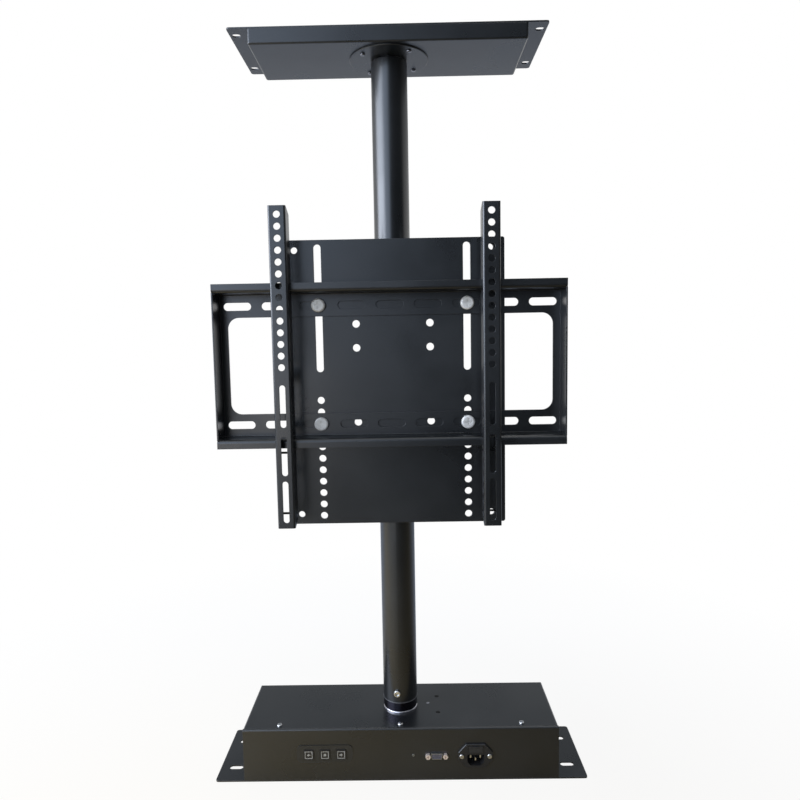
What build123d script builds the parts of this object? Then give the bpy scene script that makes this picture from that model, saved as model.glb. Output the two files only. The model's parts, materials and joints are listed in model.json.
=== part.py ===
from build123d import *
from math import acos, cos, degrees, pi, radians, sin, sqrt, tan
import os

# Motorised swivelling television column: a drive box at the foot, one pole on a turning hub, a hanging
# tray at the top, and a television bracket on the pole.
# Millimetres. +Z is up, -Y is the front. The origin is the pole's axis on the underside of the base.

# Common fits and small sizes
fit_gap = 0.05          # still pieces seated in each other, on the radius
run_gap = 0.06          # a turning shaft in its bush, on the radius
part_gap = 0.3          # pieces that move past each other
overrun = 5.0           # how far a cutting tool runs past the sheet
lathe_gap = 0.02        # bearing rings in their seats, on the radius

# Base plate with its two slotted ends
base_width = 540.0
base_depth = 125.0
base_sheet = 2.0
base_corner = 4.0
foot_slot_length = 20.0
foot_slot_width = 9.0
foot_slot_inset_x = 23.0
foot_slot_inset_y = 30.5
back_lip_height = 15.0

# Front panel and folded cover of the drive box
foot_flange = 42.0
base_height = 79.0
panel_sheet = 3.0
panel_round = 2.6
panel_rim_gap = 2.5
panel_seam = 0.4
cover_sheet = 2.0
cover_bend = 3.0
cover_screw_spread_share = 0.772
cover_screw_inset_share = 0.583
cover_screw_head_radius = 3.6
cover_screw_head_height = 2.2
cover_screw_radius = 2.0
cover_screw_length = 9.0

# Three keys in their bezel
bezel_width = 81.0
bezel_height = 26.0
bezel_thickness = 1.0
bezel_corner = 7.0
bezel_centre_z = 42.0
key_size = 14.4
key_pitch = 23.5
keys_share = 0.48
key_centre_z = 41.0
key_corner = 1.4
key_proud = 1.3
key_dish = 0.35
key_travel = 1.0
key_gap = 0.3
key_flange = 1.4
key_flange_thickness = 1.2
key_stem_radius = 2.5
key_stem_length = 3.0
switch_size = 6.2
switch_height = 3.6
switch_button_radius = 1.8
switch_button_height = 1.0
board_thickness = 1.6
key_board_margin = 6.0
key_board_post_radius = 2.5

# Status lamp
lamp_share = 0.080
lamp_z = 38.4
lamp_radius = 2.0
lamp_length = 8.0
lamp_dome = 0.8

# Nine-pin data port
port_share = 0.228
port_z = 37.3
port_flange_width = 30.8
port_flange_height = 12.5
port_flange_thickness = 0.8
port_flange_corner = 1.5
port_hole_gap = 0.4
port_insert_recess = 0.4
port_shell_width = 16.9
port_shell_height = 8.4
port_shell_sheet = 0.6
port_shell_depth = 5.8
port_slope = 10.0
port_rear_depth = 9.0
port_screw_spacing = 25.0
port_post_radius = 3.3
port_post_height = 4.6
port_post_bore_radius = 1.4
port_post_bore_depth = 4.0
port_shank_radius = 1.5
port_shank_length = 8.0
pin_radius = 0.5
pin_pitch = 2.77
pin_row_pitch = 2.84
pin_front_recess = 1.0

# Mains inlet with its fuse drawer
inlet_share = 0.474
inlet_z = 37.4
inlet_width = 50.0
inlet_height = 35.6
inlet_ear_height = 11.0
inlet_top_width = 28.0
inlet_flange_thickness = 3.0
inlet_flange_round = 1.5
inlet_body_width = 28.0
inlet_body_height = 33.0
inlet_body_depth = 30.0
inlet_cavity_width = 24.2
inlet_cavity_height = 16.4
inlet_cavity_depth = 17.5
inlet_cavity_chamfer = 5.0
inlet_cavity_drop = 5.8
inlet_screw_spacing = 40.0
inlet_screw_head_radius = 3.4
inlet_screw_head_height = 1.6
inlet_screw_radius = 1.6
inlet_screw_length = 9.0
blade_width = 4.0
blade_thickness = 2.0
blade_recess = 5.5
blade_spread = 7.0
blade_offset = 2.0
blade_tail = 8.0
drawer_width = 20.0
drawer_height = 9.0
drawer_rise = 10.6
drawer_depth = 24.0
drawer_gap = 0.35
drawer_proud = 0.8
drawer_lip_width = 8.0
drawer_lip_height = 1.2
drawer_lip_depth = 1.2
drawer_trough_margin = 1.6
fuse_radius = 2.5
fuse_length = 16.0

# Gear train and motor
gear_module = 1.25
gear_teeth = 72
pinion_teeth = 18
pressure_angle = 20.0
tooth_backlash = 0.35
root_gap_share = 1.25
tip_share = 0.92
gear_thickness = 10.0
gear_bottom = 61.0
gear_boss_radius = 27.0
gear_boss_height = 6.0
gear_web_hole_radius = 5.0
gear_web_hole_circle = 34.0
gear_web_holes = 6
motor_radius = 18.5
motor_can_radius = 17.0
motor_can_height = 30.0
gearbox_height = 18.0
motor_boss_radius = 6.0
motor_boss_height = 3.0
motor_shaft_radius = 3.0
motor_shaft_top = 1.5
motor_shaft_below = 10.0
motor_tab = 3.0
motor_edge = 1.0
hanger_width = 18.0
hanger_sheet = 2.0
hanger_bend = 2.6
hanger_inner = 14.5
hanger_foot = 15.0
hanger_screw_y = 22.0
hanger_screw_head_radius = 3.6
hanger_screw_radius = 2.0
hanger_screw_length = 7.0

# Turning spindle and its lower bearing
lower_bearing_bore = 30.0
lower_bearing_diameter = 55.0
lower_bearing_width = 13.0
lower_bearing_balls = 11
spindle_foot = 1.0
housing_floor = 3.0
housing_flange_radius = 42.0
housing_flange_thickness = 6.0
housing_wall = 6.5
housing_rim = 1.0
housing_screw_circle = 38.0
housing_screws = 4
housing_screw_radius = 2.5
housing_screw_head_radius = 3.2
housing_screw_head_height = 4.0
spindle_bore = 22.0
spindle_waist_radius = 18.5
spindle_seat_radius = 20.0
spindle_collar_radius = 24.0
spindle_collar_height = 5.0
cam_radius = 24.0
cam_thickness = 8.0
cam_rise = 3.5
cam_lobe_reach = 32.0
cam_lobe_width = 8.0
bush_wall = 3.0
bush_flange_radius = 25.6
bush_flange_thickness = 3.0
bush_tail = 4.0
hub_float = 0.4
hub_height = 12.6
spigot_length = 40.0
spigot_round = 1.0

# Limit switches
turn_limit = 165.0
limit_switch_length = 20.0
limit_switch_height = 10.0
limit_switch_depth = 10.0
limit_switch_centre = 13.0
limit_button_radius = 1.5
limit_button_gap = 0.35
limit_bracket_sheet = 1.5
limit_bracket_foot = 16.0
limit_bracket_side = 1.0

# Control board and power supply inside the box
board_width = 104.0
board_side_gap = 10.0
board_front_gap = 2.5
board_rise = 8.0
standoff_radius = 3.0
standoff_inset = 5.0
relay_width = 19.0
relay_depth = 15.5
relay_height = 15.5
relay_pitch = 22.0
terminal_width = 40.0
terminal_depth = 9.0
terminal_height = 10.0
capacitor_radius = 6.5
capacitor_height = 20.0
chip_width = 18.0
chip_depth = 10.0
chip_height = 2.6
supply_width = 66.0
supply_side_gap = 13.0
supply_front_gap = 4.5
supply_back_gap = 12.5
supply_height = 36.0
supply_corner = 1.5
supply_vent_width = 2.6
supply_vent_length = 24.0
supply_vent_depth = 0.8
supply_vents = 7
supply_vent_pitch = 7.0

# Pole
pole_diameter = 50.8
pole_wall = 2.0
pole_top = 1022.5
pole_end_round = 0.8
lock_screw_rise = 15.8
lock_screw_turn = -9.0
lock_screw_radius = 3.0
lock_screw_head_radius = 5.0
lock_screw_head_height = 3.4
lock_screw_length = 16.0
lock_screw_socket_radius = 2.6
lock_screw_socket_depth = 2.0

# Upper journal, bearing and housing
journal_plug_length = 35.0
journal_neck_radius = 14.5
journal_tip = 3.0
upper_bearing_bore = 25.0
upper_bearing_diameter = 47.0
upper_bearing_width = 12.0
upper_bearing_balls = 10
disc_gap = 2.0
disc_radius = 55.0
disc_thickness = 2.0
disc_round = 0.6
cup_wall = 6.5
cup_floor = 3.0
cup_rim = 1.0
disc_screw_circle = 45.0
disc_screw_turn = 39.0
disc_screws = 4
disc_screw_radius = 2.0
disc_screw_head_radius = 3.4
disc_screw_head_height = 2.4
disc_screw_length = 6.0

# Hanging tray
tray_width = 425.0
tray_depth = 147.5
tray_set_back = 2.5
tray_sheet = 2.0
tray_corner = 4.0
pan_width = 370.0
pan_depth = 121.5
pan_height = 20.0
pan_bend = 2.6
pan_corner = 3.0
tray_slot_length = 12.0
tray_slot_width = 9.0
tray_slot_inset_x = 9.0
tray_slot_spacing_y = 106.0

# Clamps between the pole and the backing plate
clamp_width = 94.0
clamp_height = 50.0
clamp_upper_z = 728.0
clamp_lower_z = 424.0
clamp_split = 2.0
clamp_stand = 20.0
clamp_edge = 3.0
strap_sheet = 5.0
strap_round = 1.0
clamp_bolt_spacing = 78.0
clamp_bolt_radius = 4.0
clamp_bolt_across = 13.0
clamp_bolt_head_height = 5.3
clamp_bolt_length = 26.0

# Backing plate
plate_width = 304.0
plate_shift = 2.0
plate_height = 396.0
plate_bottom = 378.0
plate_sheet = 3.0
plate_corner = 3.0
plate_corner_hole_radius = 4.5
plate_corner_hole_inset_x = 20.0
plate_corner_hole_inset_z = 13.8
column_x = 102.3
column_hole_radius = 5.0
column_holes = 11
column_pitch = 16.4
column_top = 553.6
column_slot_length = 175.0
column_slot_top = 768.0
centre_hole_spacing_x = 102.0
centre_hole_z = 659.0
centre_hole_drop = 33.0
centre_hole_low_drop = 136.6
centre_hole_radius = 5.2

# Wall plate, a pressed frame with hooked edges
wall_width = 472.0
wall_height = 221.0
wall_centre_x = -4.0
wall_centre_z = 603.0
wall_sheet = 2.0
wall_depth = 36.0
wall_lip = 10.5
wall_bend = 3.0
wall_corner = 3.0
window_width = 448.0
window_height = 134.0
window_corner = 15.0
row_spacing = 164.4
row_slots = 9
row_slot_length = 38.0
row_slot_width = 10.8
row_slot_pitch = 52.5

# Bolts of the wall plate
bolt_radius = 4.0
bolt_head_radius = 9.4
bolt_head_height = 6.0
bolt_head_round = 2.4
bolt_cross_width = 2.2
bolt_cross_length = 10.0
bolt_cross_depth = 2.2
nut_across = 13.0
nut_height = 6.5
nut_flange_radius = 9.0
nut_flange_thickness = 1.6
bolt_tail = 2.5

# Hanging arms
arm_width = 23.4
arm_length = 425.0
arm_bottom = 386.0
arm_depth = 24.0
arm_sheet = 2.0
arm_bend = 2.6
arm_stand = 15.0
arm_end_chamfer_z = 8.0
arm_end_chamfer_y = 20.0
left_arm_x = -146.6
right_arm_x = 130.2
arm_hole_radius = 4.6
arm_holes = 14
arm_hole_pitch = 15.2
arm_hole_inset = 11.2
arm_slot_width = 8.0
arm_slot_tops = (578.9, 509.7, 450.1)
arm_slot_lengths = (56.7, 52.4, 56.8)
hook_gap = 0.6
hook_seat_gap = 0.3
arm_pin_radius = 1.5
arm_pin_proud = 0.6
arm_pin_zs = (486.5, 403.0)

# Places worked out from the sizes above
front_y = -base_depth / 2
back_y = base_depth / 2
cover_width = base_width - 2 * foot_flange
cover_half = cover_width / 2
panel_rim_depth = base_depth / 2 - housing_flange_radius - panel_rim_gap
cover_screw_spacing = cover_half * cover_screw_spread_share
cover_screw_inset = panel_rim_depth * cover_screw_inset_share
key_centre_x = -cover_half * keys_share
lamp_x = cover_half * lamp_share
port_x = cover_half * port_share
inlet_x = cover_half * inlet_share
inner_top = base_height - cover_sheet
inner_front = front_y + panel_sheet
inner_back = back_y - cover_sheet
cover_front = inner_front + panel_seam
port_front = inner_front - port_shell_depth
port_flange_back = inner_front + port_flange_thickness
board_x = -(cover_half - board_side_gap - board_width / 2)
board_depth = 2 * (base_depth / 2 - panel_rim_depth - board_front_gap)
supply_x = cover_half - supply_side_gap - supply_width / 2
supply_front = front_y + panel_rim_depth + supply_front_gap
supply_back = inner_back - supply_back_gap
supply_y = (supply_front + supply_back) / 2
pole_radius = pole_diameter / 2
pole_bore_radius = pole_radius - pole_wall
gear_pitch_radius = gear_module * gear_teeth / 2
pinion_pitch_radius = gear_module * pinion_teeth / 2
motor_x = gear_pitch_radius + pinion_pitch_radius
gear_top = gear_bottom + gear_thickness
lower_ring_bottom = base_sheet + housing_floor
lower_ring_top = lower_ring_bottom + lower_bearing_width
cam_bottom = lower_ring_top + cam_rise
gear_boss_bottom = gear_bottom - gear_boss_height
hub_bottom = base_height + bush_flange_thickness + hub_float
pole_bottom = hub_bottom + hub_height
lock_screw_z = pole_bottom + lock_screw_rise
disc_bottom = pole_top + disc_gap
pan_bottom = disc_bottom + disc_thickness
pan_top = pan_bottom + pan_height
tray_top = pan_top + tray_sheet
upper_ring_bottom = pan_bottom + cup_floor
upper_ring_top = upper_ring_bottom + upper_bearing_width
tray_front_y = front_y + tray_set_back
tray_centre_y = tray_front_y + tray_depth / 2
plate_back_y = -(pole_radius + clamp_stand)
plate_front_y = plate_back_y - plate_sheet
wall_front_y = plate_front_y - wall_depth
wall_web_y = plate_front_y - wall_sheet
wall_top = wall_centre_z + wall_height / 2
wall_bottom = wall_centre_z - wall_height / 2
wall_shelf_top = wall_top - wall_lip
wall_shelf_bottom = wall_bottom + wall_lip
arm_face_y = wall_front_y - arm_stand
arm_back_y = arm_face_y + arm_depth
arm_top = arm_bottom + arm_length


def block(x0, x1, y0, y1, z0, z1):
    """A box between two opposite corners."""
    return Pos(x0, y0, z0) * Box(x1 - x0, y1 - y0, z1 - z0, align=(Align.MIN, Align.MIN, Align.MIN))


def post(x, y, z0, z1, radius):
    """An upright cylinder from z0 to z1."""
    return Pos(x, y, z0) * Cylinder(radius, z1 - z0, align=(Align.CENTER, Align.CENTER, Align.MIN))


def bar_y(x, z, y0, y1, radius):
    """A cylinder along Y from y0 to y1."""
    lying = Rot(-90, 0, 0) * Cylinder(radius, y1 - y0, align=(Align.CENTER, Align.CENTER, Align.MIN))
    return Pos(x, y0, z) * lying


def bar_x(y, z, x0, x1, radius):
    """A cylinder along X from x0 to x1."""
    lying = Rot(0, 90, 0) * Cylinder(radius, x1 - x0, align=(Align.CENTER, Align.CENTER, Align.MIN))
    return Pos(x0, y, z) * lying


def ring(z0, z1, outer, inner):
    """An upright round sleeve on the pole's axis."""
    return post(0, 0, z0, z1, outer) - post(0, 0, z0 - overrun, z1 + overrun, inner)


def group(solids):
    """Several separate solids of one node."""
    return Compound(children=[s.solid() if hasattr(s, "solid") else s for s in solids])


def front_profile(face, y0, y1):
    """A sketch drawn in X and Z, given its depth from y0 back to y1."""
    return Pos(0, y0, 0) * extrude(Plane.XZ * face, amount=y1 - y0, dir=(0, 1, 0))


def side_profile(face, x0, x1):
    """A sketch drawn in Y and Z, given its width from x0 to x1."""
    return Pos(x0, 0, 0) * extrude(Plane.YZ * face, amount=x1 - x0, dir=(1, 0, 0))


def flat_slot(x, y, z0, z1, length, width):
    """An upright tool that cuts a round-ended slot along X in a flat sheet."""
    return Pos(x, y, z0) * extrude(SlotOverall(length, width), amount=z1 - z0)


def face_slot(x, z, y0, y1, length, width, turn=0):
    """A tool along Y that cuts a round-ended slot in an upright sheet."""
    return front_profile(Pos(x, z) * Rot(0, 0, turn) * SlotOverall(length, width), y0, y1)


def folded(points, thickness, bend):
    """The section of a folded sheet: the points run along one side of it, and its metal lies to their left."""
    line = FilletPolyline(*points, radius=bend)
    return make_face(offset(line, thickness, side=Side.LEFT, closed=True).edges())


def hexagon(across, height):
    """A hexagonal prism for nuts and bolt heads, with the size across its flats."""
    return extrude(RegularPolygon(across / 2, 6, major_radius=False), amount=height)


def upright_edges(solid):
    """The edges of a solid that run along Z."""
    return solid.edges().filter_by(Axis.Z)


def make_base_chassis():
    """The bottom plate with its slotted ends, and a low lip that the cover's back is screwed to."""
    plate = block(-base_width / 2, base_width / 2, front_y, back_y, 0, base_sheet)
    plate = fillet(upright_edges(plate), base_corner)
    slot_x = base_width / 2 - foot_slot_inset_x
    slot_y = base_depth / 2 - foot_slot_inset_y
    for x in (-slot_x, slot_x):
        for y in (-slot_y, slot_y):
            plate -= flat_slot(x, y, -overrun, base_sheet + overrun, foot_slot_length, foot_slot_width)
    lip_back = inner_back - fit_gap
    lip_half = cover_width / 2 - cover_sheet - part_gap
    lip = block(-lip_half, lip_half, lip_back - base_sheet, lip_back, base_sheet, base_sheet + back_lip_height)
    chassis = plate + lip
    for x in cover_screw_xs():
        chassis -= bar_y(x, back_screw_z(), lip_back - overrun, lip_back + overrun, cover_screw_radius)
    for x, y in housing_screw_places():
        chassis -= post(x, y, -overrun, base_sheet + overrun, housing_screw_radius)
    return chassis


def cover_screw_xs():
    """The three places of the cover's screws across the box."""
    return (-cover_screw_spacing, 0, cover_screw_spacing)


def back_screw_z():
    """The height of the screws in the cover's back."""
    return base_sheet + back_lip_height / 2


def housing_screw_places():
    """The places of the lower housing's screws."""
    turns = [radians(45 + 360 * n / housing_screws) for n in range(housing_screws)]
    return [(housing_screw_circle * cos(a), housing_screw_circle * sin(a)) for a in turns]


def key_xs():
    """The centres of the three keys."""
    return [key_centre_x + n * key_pitch for n in (-1, 0, 1)]


def inlet_outline(margin=0.0):
    """The six-sided outline of the mains inlet's flange, with its ears to the left and right."""
    half, ear, top = inlet_width / 2, inlet_ear_height / 2, inlet_height / 2
    shoulder = inlet_top_width / 2
    outline = Polygon(
        (-half, -ear), (-shoulder, -top), (shoulder, -top), (half, -ear),
        (half, ear), (shoulder, top), (-shoulder, top), (-half, ear), align=None)
    return Pos(inlet_x, inlet_z) * fillet(outline.vertices(), inlet_flange_round)


def d_outline(width, height):
    """The outline of the data port's shell, narrower at the bottom than at the top."""
    slant = height * tan(radians(port_slope))
    half, tall = width / 2, height / 2
    return Polygon((-half, tall), (-half + slant, -tall), (half - slant, -tall), (half, tall), align=None)


def make_front_panel():
    """The thick front panel with a rounded upper edge, and the rims that the cover and the base meet."""
    half = cover_width / 2
    panel = block(-half, half, front_y, inner_front, base_sheet, base_height)
    upper = panel.faces().sort_by(Axis.Z)[-1]
    panel = fillet(upper.edges().sort_by(Axis.Y)[0], panel_round)
    rim_half = half - cover_bend - part_gap
    rim_back = front_y + panel_rim_depth
    for z0 in (base_sheet, inner_top - panel_sheet):
        panel += block(-rim_half, rim_half, inner_front, rim_back, z0, z0 + panel_sheet)
    for x in cover_screw_xs():
        panel -= post(x, front_y + cover_screw_inset, inner_top - overrun, inner_top + overrun,
                      cover_screw_radius)
    cut0, cut1 = front_y - overrun, inner_front + overrun
    opening = key_size + 2 * key_gap
    for x in key_xs():
        window = RectangleRounded(opening, opening, key_corner + key_gap)
        panel -= front_profile(Pos(x, key_centre_z) * window, cut0, cut1)
    panel -= bar_y(lamp_x, lamp_z, cut0, cut1, lamp_radius + fit_gap)
    port_hole = d_outline(port_shell_width + 2 * port_hole_gap, port_shell_height + 2 * port_hole_gap)
    panel -= front_profile(Pos(port_x, port_z) * port_hole, cut0, cut1)
    for side in (-1, 1):
        port_screw_x = port_x + side * port_screw_spacing / 2
        inlet_screw_x = inlet_x + side * inlet_screw_spacing / 2
        panel -= bar_y(port_screw_x, port_z, cut0, cut1, port_shank_radius + fit_gap)
        panel -= bar_y(inlet_screw_x, inlet_z, cut0, cut1, inlet_screw_radius + fit_gap)
    body_hole = Rectangle(inlet_body_width + 2 * fit_gap, inlet_body_height + 2 * fit_gap)
    return panel - front_profile(Pos(inlet_x, inlet_z) * body_hole, cut0, cut1)


def make_top_cover():
    """The folded cover: top, back and closed ends, with cut-outs for the hub and the screws."""
    half = cover_width / 2
    shell = block(-half, half, cover_front, back_y, base_sheet, base_height)
    hollow = block(-half + cover_sheet, half - cover_sheet, cover_front, inner_back, base_sheet, inner_top)
    shell = fillet(bend_edges(shell), cover_bend)
    shell -= fillet(bend_edges(hollow), cover_bend - cover_sheet)
    shell -= block(-half, half, cover_front - overrun, cover_front, base_sheet, base_height)
    shell -= post(0, 0, inner_top - overrun, base_height + overrun, spindle_seat_radius + bush_wall + fit_gap)
    for side in (-1, 1):
        shell -= post(motor_x, side * hanger_screw_y, inner_top - overrun, base_height + overrun,
                      hanger_screw_radius + fit_gap)
        sink = Cone(hanger_screw_radius, hanger_screw_head_radius + fit_gap, cover_sheet)
        shell -= Pos(motor_x, side * hanger_screw_y, base_height - cover_sheet / 2) * sink
    for x in cover_screw_xs():
        shell -= post(x, front_y + cover_screw_inset, inner_top - overrun, base_height + overrun,
                      cover_screw_radius + fit_gap)
        shell -= bar_y(x, back_screw_z(), inner_back - overrun, back_y + overrun, cover_screw_radius + fit_gap)
    return shell


def bend_edges(box):
    """The cover's bent edges: the two ends and the back of its top."""
    top = box.faces().sort_by(Axis.Z)[-1]
    return top.edges().sort_by(Axis.Y)[1:]


def pan_head(radius, height):
    """A domed screw head that stands up along Z from its seat at zero."""
    head = Cylinder(radius, height, align=(Align.CENTER, Align.CENTER, Align.MIN))
    return fillet(head.edges().sort_by(Axis.Z)[-1], height * dome_share)


dome_share = 0.7


def cover_screw():
    """One cover screw, with its head's seat at zero and its shank below."""
    head = pan_head(cover_screw_head_radius, cover_screw_head_height)
    recess = Box(cover_screw_head_radius, cover_screw_radius / 3, cover_screw_head_height)
    cross = recess + Rot(0, 0, 90) * recess
    head -= Pos(0, 0, cover_screw_head_height) * cross
    return head + post(0, 0, -cover_screw_length, 0, cover_screw_radius)


def make_cover_screws():
    """Three screws in the cover's top near the front, and three in its back."""
    screws = []
    for x in cover_screw_xs():
        screws.append(Pos(x, front_y + cover_screw_inset, base_height) * cover_screw())
        screws.append(Pos(x, back_y, back_screw_z()) * Rot(-90, 0, 0) * cover_screw())
    return group(screws)


def make_key_bezel():
    """The thin plate round the three keys."""
    plate = Pos(key_centre_x, bezel_centre_z) * RectangleRounded(bezel_width, bezel_height, bezel_corner)
    opening = key_size + 2 * key_gap
    for x in key_xs():
        plate -= Pos(x, key_centre_z) * RectangleRounded(opening, opening, key_corner + key_gap)
    return front_profile(plate, front_y - bezel_thickness, front_y)


def make_key(x):
    """One square key with a dished face, a flange behind the front panel and a stem for its switch."""
    face_y = front_y - bezel_thickness - key_proud
    flange_y = inner_front + part_gap
    cap = front_profile(Pos(x, key_centre_z) * RectangleRounded(key_size, key_size, key_corner),
                        face_y, flange_y)
    dish_size = key_size - 2 * key_corner
    dish = front_profile(Pos(x, key_centre_z) * RectangleRounded(dish_size, dish_size, key_corner / 2),
                         face_y - overrun, face_y + key_dish)
    cap -= dish
    wide = key_size + 2 * key_flange
    flange = front_profile(Pos(x, key_centre_z) * Rectangle(wide, wide), flange_y,
                           flange_y + key_flange_thickness)
    stem_end = flange_y + key_flange_thickness + key_stem_length
    return cap + flange + bar_y(x, key_centre_z, flange_y, stem_end, key_stem_radius)


def key_stem_y():
    """Where the keys' stems end at rest."""
    return inner_front + part_gap + key_flange_thickness + key_stem_length


def key_board_y():
    """The front face of the key board: the keys just clear the buttons at full travel."""
    return key_stem_y() + key_travel + part_gap + switch_button_height + switch_height - part_gap


def make_key_switches():
    """The three push switches on the key board."""
    y1 = key_board_y()
    y0 = y1 - switch_height
    switches = []
    for x in key_xs():
        half = switch_size / 2
        body = block(x - half, x + half, y0, y1, key_centre_z - half, key_centre_z + half)
        button = bar_y(x, key_centre_z, y0 - switch_button_height + part_gap, y0, switch_button_radius)
        switches.append(body + button)
    return group(switches)


def make_key_board():
    """The small board behind the keys, on four posts that stand on the front panel."""
    half_x = key_pitch + key_size / 2 + key_board_margin
    half_z = key_size / 2 + key_board_margin
    y0 = key_board_y()
    board = block(key_centre_x - half_x, key_centre_x + half_x, y0, y0 + board_thickness,
                  key_centre_z - half_z, key_centre_z + half_z)
    inset = key_board_post_radius
    for sx in (-1, 1):
        for sz in (-1, 1):
            x = key_centre_x + sx * (half_x - inset)
            z = key_centre_z + sz * (half_z - inset)
            board += bar_y(x, z, inner_front, y0, key_board_post_radius)
    return board


def make_status_lamp():
    """The round lamp with its domed lens."""
    y1 = front_y + lamp_length
    lamp = bar_y(lamp_x, lamp_z, front_y - lamp_dome, y1, lamp_radius)
    lamp += bar_y(lamp_x, lamp_z, inner_front, y1, lamp_radius + lamp_dome)
    return fillet(lamp.edges().group_by(Axis.Y)[0], lamp_dome * dome_share)


def make_port_shell():
    """The data port's metal flange behind the panel, and its D-shaped shell that comes out through it."""
    flange = RectangleRounded(port_flange_width, port_flange_height, port_flange_corner)
    shell = front_profile(Pos(port_x, port_z) * flange, inner_front, port_flange_back)
    outside = d_outline(port_shell_width, port_shell_height)
    inside = d_outline(port_shell_width - 2 * port_shell_sheet, port_shell_height - 2 * port_shell_sheet)
    shell += front_profile(Pos(port_x, port_z) * outside, port_front, port_flange_back)
    shell -= front_profile(Pos(port_x, port_z) * inside, port_front - overrun, port_flange_back + overrun)
    for side in (-1, 1):
        shell -= bar_y(port_x + side * port_screw_spacing / 2, port_z, inner_front, port_flange_back + overrun,
                       port_shank_radius + fit_gap)
    return shell


def port_pin_places():
    """The places of the nine contacts, five in the upper row and four in the lower."""
    upper = [(port_x + (n - 2) * pin_pitch, port_z + pin_row_pitch / 2) for n in range(5)]
    lower = [(port_x + (n - 2) * pin_pitch + pin_pitch / 2, port_z - pin_row_pitch / 2) for n in range(4)]
    return upper + lower


def make_port_insert():
    """The plastic block that carries the port's contacts, nearly flush with the shell's front."""
    width = port_shell_width - 2 * port_shell_sheet - 2 * fit_gap
    height = port_shell_height - 2 * port_shell_sheet - 2 * fit_gap
    y0, y1 = port_front + port_insert_recess, front_y + port_rear_depth
    insert = front_profile(Pos(port_x, port_z) * d_outline(width, height), y0, y1)
    for x, z in port_pin_places():
        insert -= bar_y(x, z, y0 - overrun, y1 + overrun, pin_radius + fit_gap)
    return insert


def make_port_pins():
    """The nine round contacts of the data port, a little way down their holes."""
    y0 = port_front + port_insert_recess + pin_front_recess
    y1 = front_y + port_rear_depth + pin_front_recess
    return group([bar_y(x, z, y0, y1, pin_radius) for x, z in port_pin_places()])


def make_port_posts():
    """The two hexagonal screw posts beside the data port."""
    posts = []
    for side in (-1, 1):
        x = port_x + side * port_screw_spacing / 2
        head = Pos(x, front_y, port_z) * Rot(90, 0, 0) * hexagon(2 * port_post_radius, port_post_height)
        head -= bar_y(x, port_z, front_y - port_post_height - overrun,
                      front_y - port_post_height + port_post_bore_depth, port_post_bore_radius)
        posts.append(head + bar_y(x, port_z, front_y, front_y + port_shank_length, port_shank_radius))
    return group(posts)


def cavity_outline():
    """The outline of the mains socket's opening, with its two lower corners cut off."""
    half, tall, cut = inlet_cavity_width / 2, inlet_cavity_height / 2, inlet_cavity_chamfer
    outline = Polygon((-half, tall), (-half, -tall + cut), (-half + cut, -tall), (half - cut, -tall),
                      (half, -tall + cut), (half, tall), align=None)
    return Pos(inlet_x, inlet_z - inlet_cavity_drop) * outline


def make_mains_inlet():
    """The inlet's moulding: a six-sided flange, the body behind it, the socket and the fuse drawer's slot."""
    y0 = front_y - inlet_flange_thickness
    inlet = front_profile(inlet_outline(), y0, front_y)
    rim = inlet.faces().sort_by(Axis.Y)[0]
    inlet = chamfer(rim.edges(), inlet_flange_round / 2)
    body = Pos(inlet_x, inlet_z) * Rectangle(inlet_body_width, inlet_body_height)
    inlet += front_profile(body, front_y, front_y + inlet_body_depth)
    inlet -= front_profile(cavity_outline(), y0 - overrun, y0 + inlet_cavity_depth)
    wide, tall = drawer_width + 2 * drawer_gap, drawer_height + 2 * drawer_gap
    slot = Pos(inlet_x, inlet_z + drawer_rise) * Rectangle(wide, tall)
    inlet -= front_profile(slot, y0 - overrun, y0 + drawer_depth + part_gap)
    for side in (-1, 1):
        x = inlet_x + side * inlet_screw_spacing / 2
        inlet -= bar_y(x, inlet_z, y0 - overrun, front_y + overrun, inlet_screw_radius + fit_gap)
    for x, z in blade_places():
        inlet -= blade(x, z, fit_gap)
    return inlet


def blade_places():
    """The socket's three blades: the earth in the middle and lower, the other two beside it."""
    z = inlet_z - inlet_cavity_drop
    return ((inlet_x, z - blade_offset), (inlet_x - blade_spread, z + blade_offset),
            (inlet_x + blade_spread, z + blade_offset))


def blade(x, z, gap=0.0):
    """One flat contact blade, from inside the socket to its tail behind the body."""
    y0 = front_y - inlet_flange_thickness + blade_recess
    y1 = front_y + inlet_body_depth + blade_tail
    half_x, half_z = blade_thickness / 2 + gap, blade_width / 2 + gap
    return block(x - half_x, x + half_x, y0, y1, z - half_z, z + half_z)


def make_inlet_blades():
    """The three brass blades of the inlet."""
    return group([blade(x, z) for x, z in blade_places()])


def make_inlet_screws():
    """The two screws through the inlet's ears."""
    screws = []
    for side in (-1, 1):
        seat = Pos(inlet_x + side * inlet_screw_spacing / 2, front_y - inlet_flange_thickness, inlet_z)
        head = pan_head(inlet_screw_head_radius, inlet_screw_head_height)
        cross = Box(inlet_screw_head_radius, inlet_screw_radius / 2, inlet_screw_head_height)
        head -= Pos(0, 0, inlet_screw_head_height) * (cross + Rot(0, 0, 90) * cross)
        screw = head + post(0, 0, -inlet_screw_length, 0, inlet_screw_radius)
        screws.append(seat * Rot(90, 0, 0) * screw)
    return group(screws)


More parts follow.
